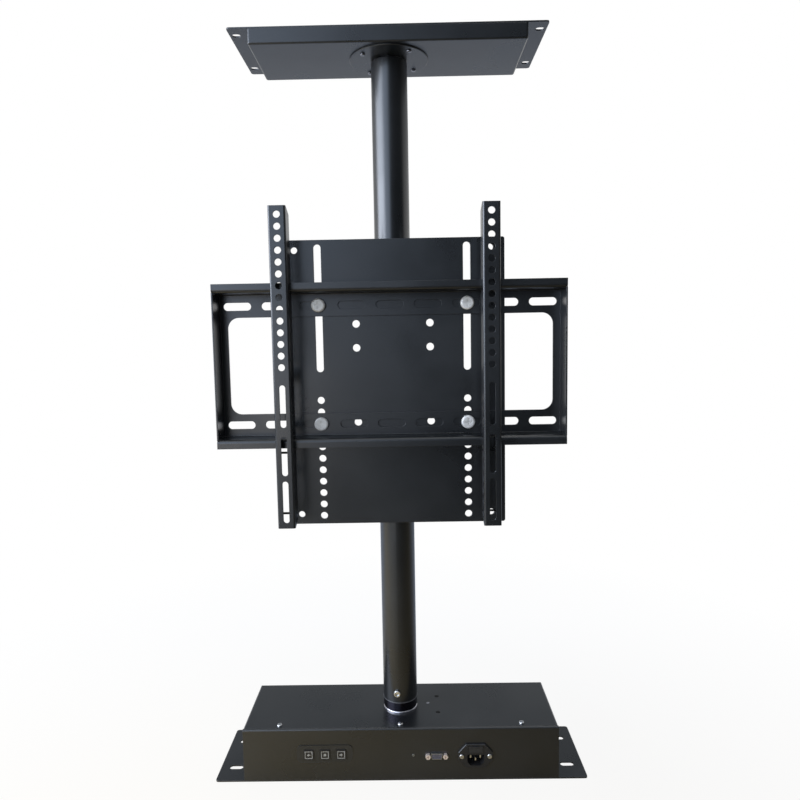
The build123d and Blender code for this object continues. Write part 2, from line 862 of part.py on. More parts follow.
def make_fuse_drawer():
    """The drawer that slides out of the inlet's front, with a trough for the fuse and a finger lip."""
    y0 = front_y - inlet_flange_thickness
    z = inlet_z + drawer_rise
    half_x, half_z = drawer_width / 2, drawer_height / 2
    drawer = block(inlet_x - half_x, inlet_x + half_x, y0 - drawer_proud, y0 + drawer_depth,
                   z - half_z, z + half_z)
    lip_x = drawer_lip_width / 2
    drawer += block(inlet_x - lip_x, inlet_x + lip_x, y0 - drawer_proud - drawer_lip_depth, y0 - drawer_proud,
                    z + half_z - drawer_lip_height, z + half_z)
    trough_y, trough_z = fuse_place()
    wide = fuse_radius + drawer_trough_margin / 2
    drawer -= block(inlet_x - fuse_length / 2 - fit_gap, inlet_x + fuse_length / 2 + fit_gap,
                    trough_y - wide, trough_y + wide, trough_z - fuse_radius, z + half_z + overrun)
    return drawer


def fuse_place():
    """The centre of the fuse in its drawer, in Y and Z."""
    y = front_y - inlet_flange_thickness + drawer_depth - drawer_trough_margin - 2 * fuse_radius
    z = inlet_z + drawer_rise - drawer_height / 2 + drawer_trough_margin + fuse_radius
    return y, z


def make_fuse():
    """The round cartridge fuse with its two end caps."""
    y, z = fuse_place()
    half = fuse_length / 2
    return bar_x(y, z, inlet_x - half, inlet_x + half, fuse_radius)


def tooth_half_angle(radius, base_radius, pitch_radius, teeth):
    """Half the angle of an involute tooth at a radius, in radians, with the backlash taken off."""
    def involute(r):
        a = acos(min(1.0, base_radius / r))
        return tan(a) - a
    at_pitch = pi / (2 * teeth) - tooth_backlash / (4 * pitch_radius)
    return at_pitch + involute(pitch_radius) - involute(max(radius, base_radius))


def gear_outline(teeth, first_turn):
    """A spur gear's outline, whose first tooth points at first_turn in radians."""
    pitch_radius = gear_module * teeth / 2
    base_radius = pitch_radius * cos(radians(pressure_angle))
    root = pitch_radius - root_gap_share * gear_module
    tip = pitch_radius + tip_share * gear_module
    low = max(base_radius, root)
    radii = [low, (low + pitch_radius) / 2, pitch_radius, (pitch_radius + tip) / 2, tip]
    points = []
    for n in range(teeth):
        middle = first_turn + 2 * pi * n / teeth
        rising = [(root, tooth_half_angle(low, base_radius, pitch_radius, teeth))] if root < low else []
        rising += [(r, tooth_half_angle(r, base_radius, pitch_radius, teeth)) for r in radii]
        for r, half in rising:
            points.append((r * cos(middle - half), r * sin(middle - half)))
        for r, half in reversed(rising):
            points.append((r * cos(middle + half), r * sin(middle + half)))
    return Polygon(*points, align=None)


def make_driven_gear():
    """The large gear on the spindle, with a boss below and holes in its web."""
    gear = Pos(0, 0, gear_bottom) * extrude(gear_outline(gear_teeth, 0), amount=gear_thickness)
    gear += post(0, 0, gear_boss_bottom, gear_bottom, gear_boss_radius)
    gear -= post(0, 0, gear_boss_bottom - overrun, gear_top + overrun, spindle_seat_radius + fit_gap)
    for n in range(gear_web_holes):
        a = radians(30 + 360 * n / gear_web_holes)
        gear -= post(gear_web_hole_circle * cos(a), gear_web_hole_circle * sin(a),
                     gear_bottom - overrun, gear_top + overrun, gear_web_hole_radius)
    return gear


def make_drive_pinion():
    """The motor's small gear on its shaft."""
    first = pi + pi / pinion_teeth
    pinion = Pos(motor_x, 0, gear_bottom) * extrude(gear_outline(pinion_teeth, first), amount=gear_thickness)
    shaft_bottom = gearbox_top() - motor_shaft_below
    return pinion + post(motor_x, 0, shaft_bottom, gear_top + motor_shaft_top, motor_shaft_radius)


def gearbox_top():
    """The top face of the motor's gearbox, under the hanger's web."""
    return gear_bottom - motor_boss_height - part_gap


def make_drive_motor():
    """The gear motor: a gearbox with a boss above, the motor's can below and two terminal tabs."""
    top = gearbox_top()
    mid = top - gearbox_height
    bottom = mid - motor_can_height
    gearbox = post(motor_x, 0, mid, top, motor_radius)
    gearbox = chamfer(gearbox.edges().sort_by(Axis.Z)[0], motor_edge)
    can = post(motor_x, 0, bottom, mid, motor_can_radius)
    can = fillet(can.edges().sort_by(Axis.Z)[0], motor_edge)
    motor = gearbox + can + post(motor_x, 0, top, top + motor_boss_height - part_gap, motor_boss_radius)
    motor -= post(motor_x, 0, top - motor_shaft_below - part_gap, top + motor_boss_height + overrun,
                  motor_shaft_radius + run_gap)
    for side in (-1, 1):
        y = side * motor_can_radius / 2
        motor += block(motor_x - motor_tab / 2, motor_x + motor_tab / 2, y, y + motor_edge,
                       bottom - motor_tab, bottom + motor_edge)
    return motor


def make_motor_hanger():
    """The folded hanger that holds the motor's gearbox under the cover's top."""
    web_bottom = gearbox_top()
    leg, foot = hanger_inner + hanger_sheet, hanger_inner + hanger_sheet + hanger_foot
    points = [(-foot, inner_top), (-leg, inner_top), (-leg, web_bottom), (leg, web_bottom),
              (leg, inner_top), (foot, inner_top)]
    half = hanger_width / 2
    hanger = side_profile(hanger_section(points), motor_x - half, motor_x + half)
    hanger -= post(motor_x, 0, web_bottom - overrun, web_bottom + overrun, motor_boss_radius + fit_gap)
    for side in (-1, 1):
        hanger -= post(motor_x, side * hanger_screw_y, inner_top - overrun, inner_top + overrun,
                       hanger_screw_radius)
    return hanger


def hanger_section(points):
    """The hat section of the hanger: its feet hang below the first and last points."""
    (x0, z0), (x1, z1), (x2, z2), (x3, z3), (x4, z4), (x5, z5) = points
    low = hanger_sheet
    outline = Polygon((x0, z0), (x1 + low, z1), (x2 + low, z2 + low), (x3 - low, z3 + low), (x4 - low, z4),
                      (x5, z5), (x5, z5 - low), (x4, z4 - low), (x3, z3), (x2, z2), (x1, z1 - low),
                      (x0, z0 - low), align=None)
    return outline


def make_hanger_screws():
    """The two sunk screws in the cover's top that carry the motor."""
    screws = []
    for side in (-1, 1):
        x, y = motor_x, side * hanger_screw_y
        shank = post(x, y, base_height - cover_sheet - hanger_screw_length, base_height - cover_sheet,
                     hanger_screw_radius)
        head = Cone(hanger_screw_radius, hanger_screw_head_radius, cover_sheet)
        screws.append(shank + Pos(x, y, base_height - cover_sheet / 2) * head)
    return group(screws)


def bearing_radii(bore, diameter):
    """The ball circle, ball radius and the shoulders of the rings of a ball bearing."""
    circle = (bore + diameter) / 4
    ball = (diameter - bore) / 2 * ball_share
    return circle, ball, circle - ball * shoulder_share, circle + ball * shoulder_share


ball_share = 0.31
shoulder_share = 0.5
groove_gap = 0.1


def bearing_inner(z0, z1, bore, diameter):
    """The inner ring of a ball bearing, with its groove."""
    circle, ball, inner_shoulder, outer_shoulder = bearing_radii(bore, diameter)
    groove = Pos(0, 0, (z0 + z1) / 2) * Torus(circle, ball + groove_gap)
    return ring(z0, z1, inner_shoulder, bore / 2) - groove


def bearing_outer(z0, z1, bore, diameter):
    """The outer ring of a ball bearing, with its groove."""
    circle, ball, inner_shoulder, outer_shoulder = bearing_radii(bore, diameter)
    groove = Pos(0, 0, (z0 + z1) / 2) * Torus(circle, ball + groove_gap)
    return ring(z0, z1, diameter / 2, outer_shoulder) - groove


def bearing_balls(z0, z1, bore, diameter, count):
    """The balls of a bearing, evenly spaced between its rings."""
    circle, ball, inner_shoulder, outer_shoulder = bearing_radii(bore, diameter)
    turns = [2 * pi * n / count for n in range(count)]
    return group([Pos(circle * cos(a), circle * sin(a), (z0 + z1) / 2) * Sphere(ball) for a in turns])


def make_lower_housing():
    """The flanged cup on the bottom plate that holds the lower bearing."""
    cup_radius = lower_bearing_diameter / 2 + housing_wall
    housing = post(0, 0, base_sheet, base_sheet + housing_flange_thickness, housing_flange_radius)
    housing += post(0, 0, base_sheet, lower_ring_top + housing_rim, cup_radius)
    housing -= post(0, 0, lower_ring_bottom, lower_ring_top + overrun, lower_bearing_diameter / 2 + lathe_gap)
    circle, ball, inner_shoulder, outer_shoulder = bearing_radii(lower_bearing_bore, lower_bearing_diameter)
    housing -= post(0, 0, -overrun, lower_ring_top, outer_shoulder)
    for x, y in housing_screw_places():
        housing -= post(x, y, base_sheet - overrun, base_sheet + overrun + housing_flange_thickness,
                        housing_screw_radius)
        housing -= post(x, y, base_sheet + housing_flange_thickness, lower_ring_top + overrun,
                        housing_screw_head_radius + part_gap)
    return housing


def make_lower_housing_screws():
    """The socket screws that hold the lower housing to the bottom plate."""
    screws = []
    seat = base_sheet + housing_flange_thickness
    for x, y in housing_screw_places():
        head = post(x, y, seat, seat + housing_screw_head_height, housing_screw_head_radius)
        socket = hexagon(housing_screw_radius, housing_screw_head_height)
        head -= Pos(x, y, seat + housing_screw_head_height / 2) * socket
        screws.append(head + post(x, y, fit_gap, seat, housing_screw_radius))
    return group(screws)


def make_spindle():
    """The hollow turning spindle: bearing seat, cam seat, collar, gear seat, hub and the pole's spigot."""
    seat = lower_bearing_bore / 2
    foot = lower_ring_bottom - spindle_foot
    collar_bottom = gear_boss_bottom - spindle_collar_height
    spindle = post(0, 0, foot, lower_ring_top, seat)
    spindle += post(0, 0, lower_ring_top, collar_bottom, spindle_waist_radius)
    spindle += post(0, 0, collar_bottom, gear_boss_bottom, spindle_collar_radius)
    spindle += post(0, 0, gear_boss_bottom, hub_bottom, spindle_seat_radius)
    hub = post(0, 0, hub_bottom, pole_bottom, pole_radius)
    spindle += fillet(hub.edges().sort_by(Axis.Z)[0], pole_end_round)
    spigot = post(0, 0, pole_bottom, pole_bottom + spigot_length, pole_bore_radius - fit_gap)
    spindle += chamfer(spigot.edges().sort_by(Axis.Z)[-1], spigot_round)
    spindle -= post(0, 0, foot - overrun, pole_bottom + spigot_length + overrun, spindle_bore / 2)
    for turn in lock_screw_turns():
        spindle -= Rot(0, 0, turn) * bar_x(0, lock_screw_z, 0, pole_radius, lock_screw_radius + fit_gap)
    return spindle


def lock_screw_turns():
    """The directions of the two pole lock screws, in degrees round the pole from +X."""
    front = -90 + lock_screw_turn
    return (front, front + 180)


def make_hub_bush():
    """The flanged bush in the cover's top that steadies the spindle; its rim shows round the hub."""
    outer = spindle_seat_radius + bush_wall
    bush = post(0, 0, base_height - bush_tail, base_height, outer)
    rim = post(0, 0, base_height, base_height + bush_flange_thickness, bush_flange_radius)
    bush += fillet(rim.edges().sort_by(Axis.Z)[-1], bush_flange_thickness / 2)
    return bush - post(0, 0, base_height - bush_tail - overrun, hub_bottom, spindle_seat_radius + run_gap)


def make_limit_cam():
    """The cam on the spindle, whose one lobe reaches a limit switch at each end of the turn."""
    cam = ring(cam_bottom, cam_bottom + cam_thickness, cam_radius, spindle_waist_radius + fit_gap)
    inner = (spindle_waist_radius + cam_radius) / 2
    lobe = block(inner, cam_lobe_reach, -cam_lobe_width / 2, cam_lobe_width / 2,
                 cam_bottom, cam_bottom + cam_thickness)
    return cam + lobe


def limit_button_y():
    """How far each limit switch's button stands from the middle: where the lobe stops."""
    return cam_lobe_reach * sin(radians(180 - turn_limit))


def limit_button_x():
    """Where the buttons' tips end, just clear of the lobe's corner."""
    corner = sqrt(cam_lobe_reach ** 2 + (cam_lobe_width / 2) ** 2) + limit_button_gap
    near = limit_button_y() - limit_button_radius
    return -sqrt(corner ** 2 - near ** 2)


def limit_wall_x():
    """The face of the switch bracket that the switches are fixed to."""
    return -(housing_flange_radius + limit_bracket_side + limit_bracket_sheet)


def make_limit_switches():
    """The two limit switches, with their buttons facing the cam."""
    switches = []
    z = cam_bottom + cam_thickness / 2
    wall = limit_wall_x()
    for side in (-1, 1):
        y = side * limit_switch_centre
        body = block(wall, wall + limit_switch_depth, y - limit_switch_length / 2, y + limit_switch_length / 2,
                     z - limit_switch_height / 2, z + limit_switch_height / 2)
        button = bar_x(side * limit_button_y(), z, wall + limit_switch_depth - motor_edge, limit_button_x(),
                       limit_button_radius)
        switches.append(body + button)
    return group(switches)


def make_limit_bracket():
    """The folded bracket that carries the limit switches beside the lower housing."""
    x1 = limit_wall_x()
    x0 = x1 - limit_bracket_foot
    top = cam_bottom + cam_thickness / 2 + limit_switch_height / 2 + limit_bracket_side
    half = limit_switch_centre + limit_switch_length / 2 + limit_bracket_side
    foot = block(x0, x1, -half, half, base_sheet, base_sheet + limit_bracket_sheet)
    return foot + block(x1 - limit_bracket_sheet, x1, -half, half, base_sheet, top)


def make_control_board():
    """The bare control board."""
    z0 = base_sheet + board_rise
    return block(board_x - board_width / 2, board_x + board_width / 2, -board_depth / 2, board_depth / 2,
                 z0, z0 + board_thickness)


def make_board_standoffs():
    """The four posts between the bottom plate and the control board."""
    dx, dy = board_width / 2 - standoff_inset, board_depth / 2 - standoff_inset
    places = [(board_x + sx * dx, sy * dy) for sx in (-1, 1) for sy in (-1, 1)]
    return group([post(x, y, base_sheet, base_sheet + board_rise, standoff_radius) for x, y in places])


def make_board_parts():
    """What stands on the control board: relays, a terminal strip, capacitors and a chip."""
    z0 = base_sheet + board_rise + board_thickness
    left, back = board_x - board_width / 2, board_depth / 2
    parts = []
    for n in range(3):
        x = left + standoff_inset * 2 + n * relay_pitch
        y = back - standoff_inset * 2 - relay_depth
        parts.append(block(x, x + relay_width, y, y + relay_depth, z0, z0 + relay_height))
    strip_y = -back + standoff_inset * 2
    parts.append(block(board_x - terminal_width / 2, board_x + terminal_width / 2, strip_y,
                       strip_y + terminal_depth, z0, z0 + terminal_height))
    for n in (0, 1):
        x = board_x + board_width / 2 - standoff_inset * 3 - n * capacitor_radius * 3
        parts.append(post(x, 0, z0, z0 + capacitor_height, capacitor_radius))
    parts.append(block(left + standoff_inset * 2, left + standoff_inset * 2 + chip_width, -chip_depth / 2,
                       chip_depth / 2, z0, z0 + chip_height))
    return group(parts)


def make_power_supply():
    """The closed power supply on the bottom plate, with vent grooves in its top."""
    half = supply_width / 2
    top = base_sheet + supply_height
    case = block(supply_x - half, supply_x + half, supply_front, supply_back, base_sheet, top)
    case = fillet(upright_edges(case), supply_corner)
    for n in range(supply_vents):
        y = supply_y + (n - (supply_vents - 1) / 2) * supply_vent_pitch
        case -= flat_slot(supply_x, y, top - supply_vent_depth, top + overrun, supply_vent_length,
                          supply_vent_width)
    return case


def make_pole():
    """The pole: one plain tube, with holes for its two lock screws at the foot."""
    pole = ring(pole_bottom, pole_top, pole_radius, pole_bore_radius)
    rims = [e for e in pole.edges().filter_by(GeomType.CIRCLE) if e.radius > pole_radius - pole_wall / 2]
    pole = fillet(rims, pole_end_round)
    for turn in lock_screw_turns():
        pole -= Rot(0, 0, turn) * bar_x(0, lock_screw_z, 0, pole_radius + overrun, lock_screw_radius + fit_gap)
    return pole


def make_pole_lock_screws():
    """The two socket screws that lock the pole to the spindle's spigot."""
    screws = []
    seat = pole_radius - lock_screw_seat
    for turn in lock_screw_turns():
        shank = bar_x(0, lock_screw_z, seat + lock_screw_seat - lock_screw_length + pole_wall, seat,
                      lock_screw_radius)
        head = bar_x(0, lock_screw_z, pole_radius, pole_radius + lock_screw_head_height, lock_screw_head_radius)
        head = fillet(head.edges().sort_by(Axis.X)[-1], pole_end_round)
        tip = pole_radius + lock_screw_head_height - lock_screw_socket_depth
        socket = Pos(tip, 0, lock_screw_z) * Rot(0, 90, 0) * hexagon(2 * lock_screw_socket_radius, overrun)
        neck = bar_x(0, lock_screw_z, seat - fit_gap, pole_radius + fit_gap, lock_screw_radius)
        screws.append(Rot(0, 0, turn) * (head - socket + shank + neck))
    return group(screws)


lock_screw_seat = 1.0


def make_upper_journal():
    """The plug in the pole's top with the neck and the shaft that turns in the upper bearing."""
    plug = post(0, 0, pole_top - journal_plug_length, pole_top, pole_bore_radius - fit_gap)
    plug = chamfer(plug.edges().sort_by(Axis.Z)[0], spigot_round)
    journal = plug + post(0, 0, pole_top, upper_ring_bottom, journal_neck_radius)
    shaft_top = upper_ring_top + journal_tip
    tip = post(0, 0, upper_ring_bottom, shaft_top, upper_bearing_bore / 2)
    return journal + chamfer(tip.edges().sort_by(Axis.Z)[-1], spigot_round)


def disc_screw_places():
    """The places of the four screws in the bearing disc."""
    turns = [radians(disc_screw_turn + 360 * n / disc_screws) for n in range(disc_screws)]
    return [(disc_screw_circle * cos(a), disc_screw_circle * sin(a)) for a in turns]


def make_upper_housing():
    """The bearing disc under the tray and the cup above it that holds the upper bearing."""
    disc = post(0, 0, disc_bottom, pan_bottom, disc_radius)
    disc = chamfer(disc.edges().sort_by(Axis.Z)[0], disc_round)
    cup_radius = upper_bearing_diameter / 2 + cup_wall
    housing = disc + post(0, 0, disc_bottom, upper_ring_top + cup_rim, cup_radius)
    housing -= post(0, 0, upper_ring_bottom, pan_top, upper_bearing_diameter / 2 + lathe_gap)
    circle, ball, inner_shoulder, outer_shoulder = bearing_radii(upper_bearing_bore, upper_bearing_diameter)
    housing -= post(0, 0, disc_bottom - overrun, pan_top, outer_shoulder)
    for x, y in disc_screw_places():
        housing -= post(x, y, disc_bottom - overrun, pan_bottom + overrun, disc_screw_radius + fit_gap)
    return housing


def make_disc_screws():
    """The four screws that hold the bearing disc to the tray's pan."""
    screws = []
    for x, y in disc_screw_places():
        head = Rot(180, 0, 0) * pan_head(disc_screw_head_radius, disc_screw_head_height)
        shank = post(0, 0, 0, disc_screw_length, disc_screw_radius)
        screws.append(Pos(x, y, disc_bottom) * (head + shank))
    return group(screws)


def make_tray_pan():
    """The shallow pan under the tray's plate, open at its top."""
    half = pan_width / 2
    y0, y1 = tray_front_y, tray_front_y + pan_depth
    pan = block(-half, half, y0, y1, pan_bottom, pan_top)
    pan = fillet(upright_edges(pan), pan_corner)
    pan = fillet(pan.faces().sort_by(Axis.Z)[0].edges(), pan_bend)
    inside = block(-half + tray_sheet, half - tray_sheet, y0 + tray_sheet, y1 - tray_sheet,
                   pan_bottom + tray_sheet, pan_top + overrun)
    pan -= fillet(upright_edges(inside), pan_corner - tray_sheet)
    pan -= post(0, 0, pan_bottom - overrun, pan_bottom + overrun,
                upper_bearing_diameter / 2 + cup_wall + part_gap)
    for x, y in disc_screw_places():
        pan -= post(x, y, pan_bottom - overrun, pan_bottom + overrun, disc_screw_radius + fit_gap)
    return pan


def make_tray_plate():
    """The tray's flat top plate, whose ends are slotted for the cabinet's screws."""
    half = tray_width / 2
    plate = block(-half, half, tray_front_y, tray_front_y + tray_depth, pan_top, tray_top)
    plate = fillet(upright_edges(plate), tray_corner)
    slot_x = half - tray_slot_inset_x
    for x in (-slot_x, slot_x):
        for side in (-1, 1):
            y = tray_centre_y + side * tray_slot_spacing_y / 2
            plate -= flat_slot(x, y, pan_top - overrun, tray_top + overrun, tray_slot_length, tray_slot_width)
    return plate


def clamp_zs():
    """The heights of the two clamps' middles."""
    return (clamp_lower_z, clamp_upper_z)


def make_clamp_saddles():
    """The two saddle blocks behind the backing plate, each hollowed to the pole."""
    saddles = []
    half, tall, split = clamp_width / 2, clamp_height / 2, clamp_split / 2
    for z in clamp_zs():
        saddle = block(-half, half, plate_back_y, -split, z - tall, z + tall)
        saddle = chamfer(upright_edges(saddle).group_by(Axis.Y)[-1], clamp_edge)
        saddle -= post(0, 0, z - tall - overrun, z + tall + overrun, pole_radius + fit_gap)
        for side in (-1, 1):
            x = side * clamp_bolt_spacing / 2
            saddle -= bar_y(x, z, split + strap_sheet - clamp_bolt_length - part_gap, overrun,
                            clamp_bolt_radius + fit_gap)
        saddles.append(saddle)
    return group(saddles)


def make_clamp_straps():
    """The two straps that close the clamps behind the pole."""
    straps = []
    half, tall, split = clamp_width / 2, clamp_height / 2, clamp_split / 2
    outer = pole_radius + fit_gap + strap_sheet
    for z in clamp_zs():
        band = post(0, 0, z - tall, z + tall, outer)
        ears = block(-half, half, split, split + strap_sheet, z - tall, z + tall)
        strap = band + fillet(upright_edges(ears).group_by(Axis.Y)[-1], strap_round)
        strap -= block(-half - overrun, half + overrun, -outer - overrun, split, z - tall - overrun,
                       z + tall + overrun)
        strap -= post(0, 0, z - tall - overrun, z + tall + overrun, pole_radius + fit_gap)
        for side in (-1, 1):
            x = side * clamp_bolt_spacing / 2
            strap -= bar_y(x, z, -overrun, split + strap_sheet + overrun, clamp_bolt_radius + fit_gap)
        straps.append(strap)
    return group(straps)


def make_clamp_bolts():
    """The four hexagon bolts that draw the straps to the saddles."""
    bolts = []
    seat = clamp_split / 2 + strap_sheet
    for z in clamp_zs():
        for side in (-1, 1):
            x = side * clamp_bolt_spacing / 2
            head = Pos(x, seat, z) * Rot(-90, 0, 0) * hexagon(clamp_bolt_across, clamp_bolt_head_height)
            bolts.append(head + bar_y(x, z, seat - clamp_bolt_length, seat, clamp_bolt_radius))
    return group(bolts)


def column_hole_zs():
    """The heights of the backing plate's columns of holes, from the top one down."""
    return [column_top - n * column_pitch for n in range(column_holes)]


def make_backing_plate():
    """The flat plate behind the wall plate, with its columns of holes and its two long slots."""
    half = plate_width / 2 + plate_shift
    top = plate_bottom + plate_height
    blank = RectangleRounded(plate_width, plate_height, plate_corner)
    outline = Pos(plate_shift, plate_bottom + plate_height / 2) * blank
    plate = front_profile(outline, plate_front_y, plate_back_y)
    y0, y1 = plate_front_y - overrun, plate_back_y + overrun
    corner_x = half - plate_corner_hole_inset_x
    low = centre_hole_z - centre_hole_low_drop
    tools = []
    for side in (-1, 1):
        for z in (plate_bottom + plate_corner_hole_inset_z, top - plate_corner_hole_inset_z):
            tools.append(bar_y(side * corner_x, z, y0, y1, plate_corner_hole_radius))
        for z in column_hole_zs():
            tools.append(bar_y(side * column_x, z, y0, y1, column_hole_radius))
        middle = column_slot_top - column_slot_length / 2
        tools.append(face_slot(side * column_x, middle, y0, y1, column_slot_length, 2 * column_hole_radius, 90))
        for z in (centre_hole_z, centre_hole_z - centre_hole_drop, low):
            tools.append(bar_y(side * centre_hole_spacing_x / 2, z, y0, y1, centre_hole_radius))
    for tool in tools:
        plate -= tool
    return plate


def row_slot_xs():
    """The centres of the slots in each row of the wall plate."""
    return [wall_centre_x + (n - (row_slots - 1) / 2) * row_slot_pitch for n in range(row_slots)]


def make_wall_plate():
    """The pressed frame: a web with one long window, shelves that come forward, and hooked edges."""
    half = wall_width / 2
    x0, x1 = wall_centre_x - half, wall_centre_x + half
    y_web, y_lip = plate_front_y, wall_front_y
    inner = [(y_lip + wall_sheet, wall_bottom), (y_lip + wall_sheet, wall_shelf_bottom),
             (y_web, wall_shelf_bottom), (y_web, wall_shelf_top),
             (y_lip + wall_sheet, wall_shelf_top), (y_lip + wall_sheet, wall_top)]
    frame = side_profile(folded(inner, wall_sheet, wall_bend), x0, x1)
    low, high = wall_shelf_bottom + wall_sheet / 2, wall_shelf_top - wall_sheet / 2
    for a, b in ((x0, x0 + wall_sheet), (x1 - wall_sheet, x1)):
        frame += block(a, b, y_lip, y_web - wall_sheet / 2, low, high)
    window = RectangleRounded(window_width, window_height, window_corner)
    frame -= front_profile(Pos(wall_centre_x, wall_centre_z) * window, wall_web_y - overrun, y_web + overrun)
    for x in row_slot_xs():
        for z in (wall_centre_z - row_spacing / 2, wall_centre_z + row_spacing / 2):
            frame -= face_slot(x, z, wall_web_y - overrun, y_web + overrun, row_slot_length, row_slot_width)
    return frame


def bolt_places():
    """The places of the wall plate's four bolts, in X and Z."""
    zs = (wall_centre_z - row_spacing / 2, wall_centre_z + row_spacing / 2)
    return [(side * column_x, z) for side in (-1, 1) for z in zs]


def make_wall_bolts():
    """The four large bolts with rounded heads."""
    bolts = []
    seat = wall_web_y
    end = plate_back_y + nut_height + bolt_tail
    for x, z in bolt_places():
        head = Cylinder(bolt_head_radius, bolt_head_height, align=(Align.CENTER, Align.CENTER, Align.MIN))
        head = fillet(head.edges().sort_by(Axis.Z)[-1], bolt_head_round)
        arm = Box(bolt_cross_length, bolt_cross_width, 2 * bolt_cross_depth)
        head -= Pos(0, 0, bolt_head_height) * (arm + Rot(0, 0, 90) * arm)
        bolt = Pos(x, seat, z) * Rot(90, 0, 0) * head
        bolts.append(bolt + bar_y(x, z, seat, end, bolt_radius))
    return group(bolts)


def make_wall_nuts():
    """The four flanged nuts behind the backing plate."""
    nuts = []
    y0 = plate_back_y
    for x, z in bolt_places():
        nut = Pos(x, y0, z) * Rot(-90, 0, 0) * hexagon(nut_across, nut_height)
        nut += bar_y(x, z, y0, y0 + nut_flange_thickness, nut_flange_radius)
        nuts.append(nut - bar_y(x, z, y0 - overrun, y0 + nut_height + overrun, bolt_radius + fit_gap))
    return group(nuts)


def make_arm(x):
    """One hanging arm: a channel with holes and slots, and notches that hook over the wall plate's edges."""
    half = arm_width / 2
    points = [(x - half, arm_back_y), (x - half, arm_face_y), (x + half, arm_face_y), (x + half, arm_back_y)]
    arm = Pos(0, 0, arm_bottom) * extrude(folded(points, arm_sheet, arm_bend), amount=arm_length)
    y0, y1 = arm_face_y - overrun, arm_face_y + overrun + arm_sheet
    for n in range(arm_holes):
        z = arm_top - arm_hole_inset - n * arm_hole_pitch
        arm -= bar_y(x, z, y0, y1, arm_hole_radius)
    for top, length in zip(arm_slot_tops, arm_slot_lengths):
        arm -= face_slot(x, top - length / 2, y0, y1, length, arm_slot_width, 90)
    return arm - arm_end_cuts(x) - arm_hook_cuts(x)


def arm_end_cuts(x):
    """The wedges that slope the side walls' ends, at the arm's top and bottom."""
    wide = arm_width / 2 + overrun
    start = arm_back_y - arm_end_chamfer_y
    cuts = []
    for end, run in ((arm_top, -1), (arm_bottom, 1)):
        wedge = Polygon((start, end), (arm_back_y + overrun, end + run * arm_end_reach()),
                        (arm_back_y + overrun, end - run * overrun), (start, end - run * overrun), align=None)
        cuts.append(side_profile(wedge, x - wide, x + wide))
    return cuts[0] + cuts[1]


def arm_end_reach():
    """How far along the arm the end wedge has come at its outer corner."""
    return arm_end_chamfer_z * (arm_end_chamfer_y + overrun) / arm_end_chamfer_y


def arm_hook_cuts(x):
    """The notches in the side walls: a hook over the upper edge, and an open notch for the lower one."""
    wide = arm_width / 2 + overrun
    front = wall_front_y - hook_gap
    behind = wall_front_y + wall_sheet + hook_gap
    shelf_low = wall_shelf_top - wall_sheet - hook_gap
    bend_room = wall_shelf_top + wall_bend
    upper = block(x - wide, x + wide, front, arm_back_y + overrun, shelf_low, bend_room)
    upper += block(x - wide, x + wide, front, behind, shelf_low, wall_top + hook_seat_gap)
    low = wall_bottom - hook_gap
    high = wall_shelf_bottom + wall_sheet + hook_gap
    return upper + block(x - wide, x + wide, front, arm_back_y + overrun, low, high)


def make_arm_pins(x):
    """The thin cross pins through the arm's side walls, below the wall plate's lower edge."""
    half = arm_width / 2 + arm_pin_proud
    y = wall_front_y + wall_sheet / 2
    return group([bar_x(y, z, x - half, x + half, arm_pin_radius) for z in arm_pin_zs])


def arm_with_pin_holes(x):
    """An arm with the holes of its cross pins."""
    arm = make_arm(x)
    half = arm_width / 2 + overrun
    y = wall_front_y + wall_sheet / 2
    for z in arm_pin_zs:
        arm -= bar_x(y, z, x - half, x + half, arm_pin_radius + fit_gap)
    return arm


left_key_x, stop_key_x, right_key_x = key_xs()
lower_ring = (lower_ring_bottom, lower_ring_top, lower_bearing_bore, lower_bearing_diameter)
upper_ring = (upper_ring_bottom, upper_ring_top, upper_bearing_bore, upper_bearing_diameter)

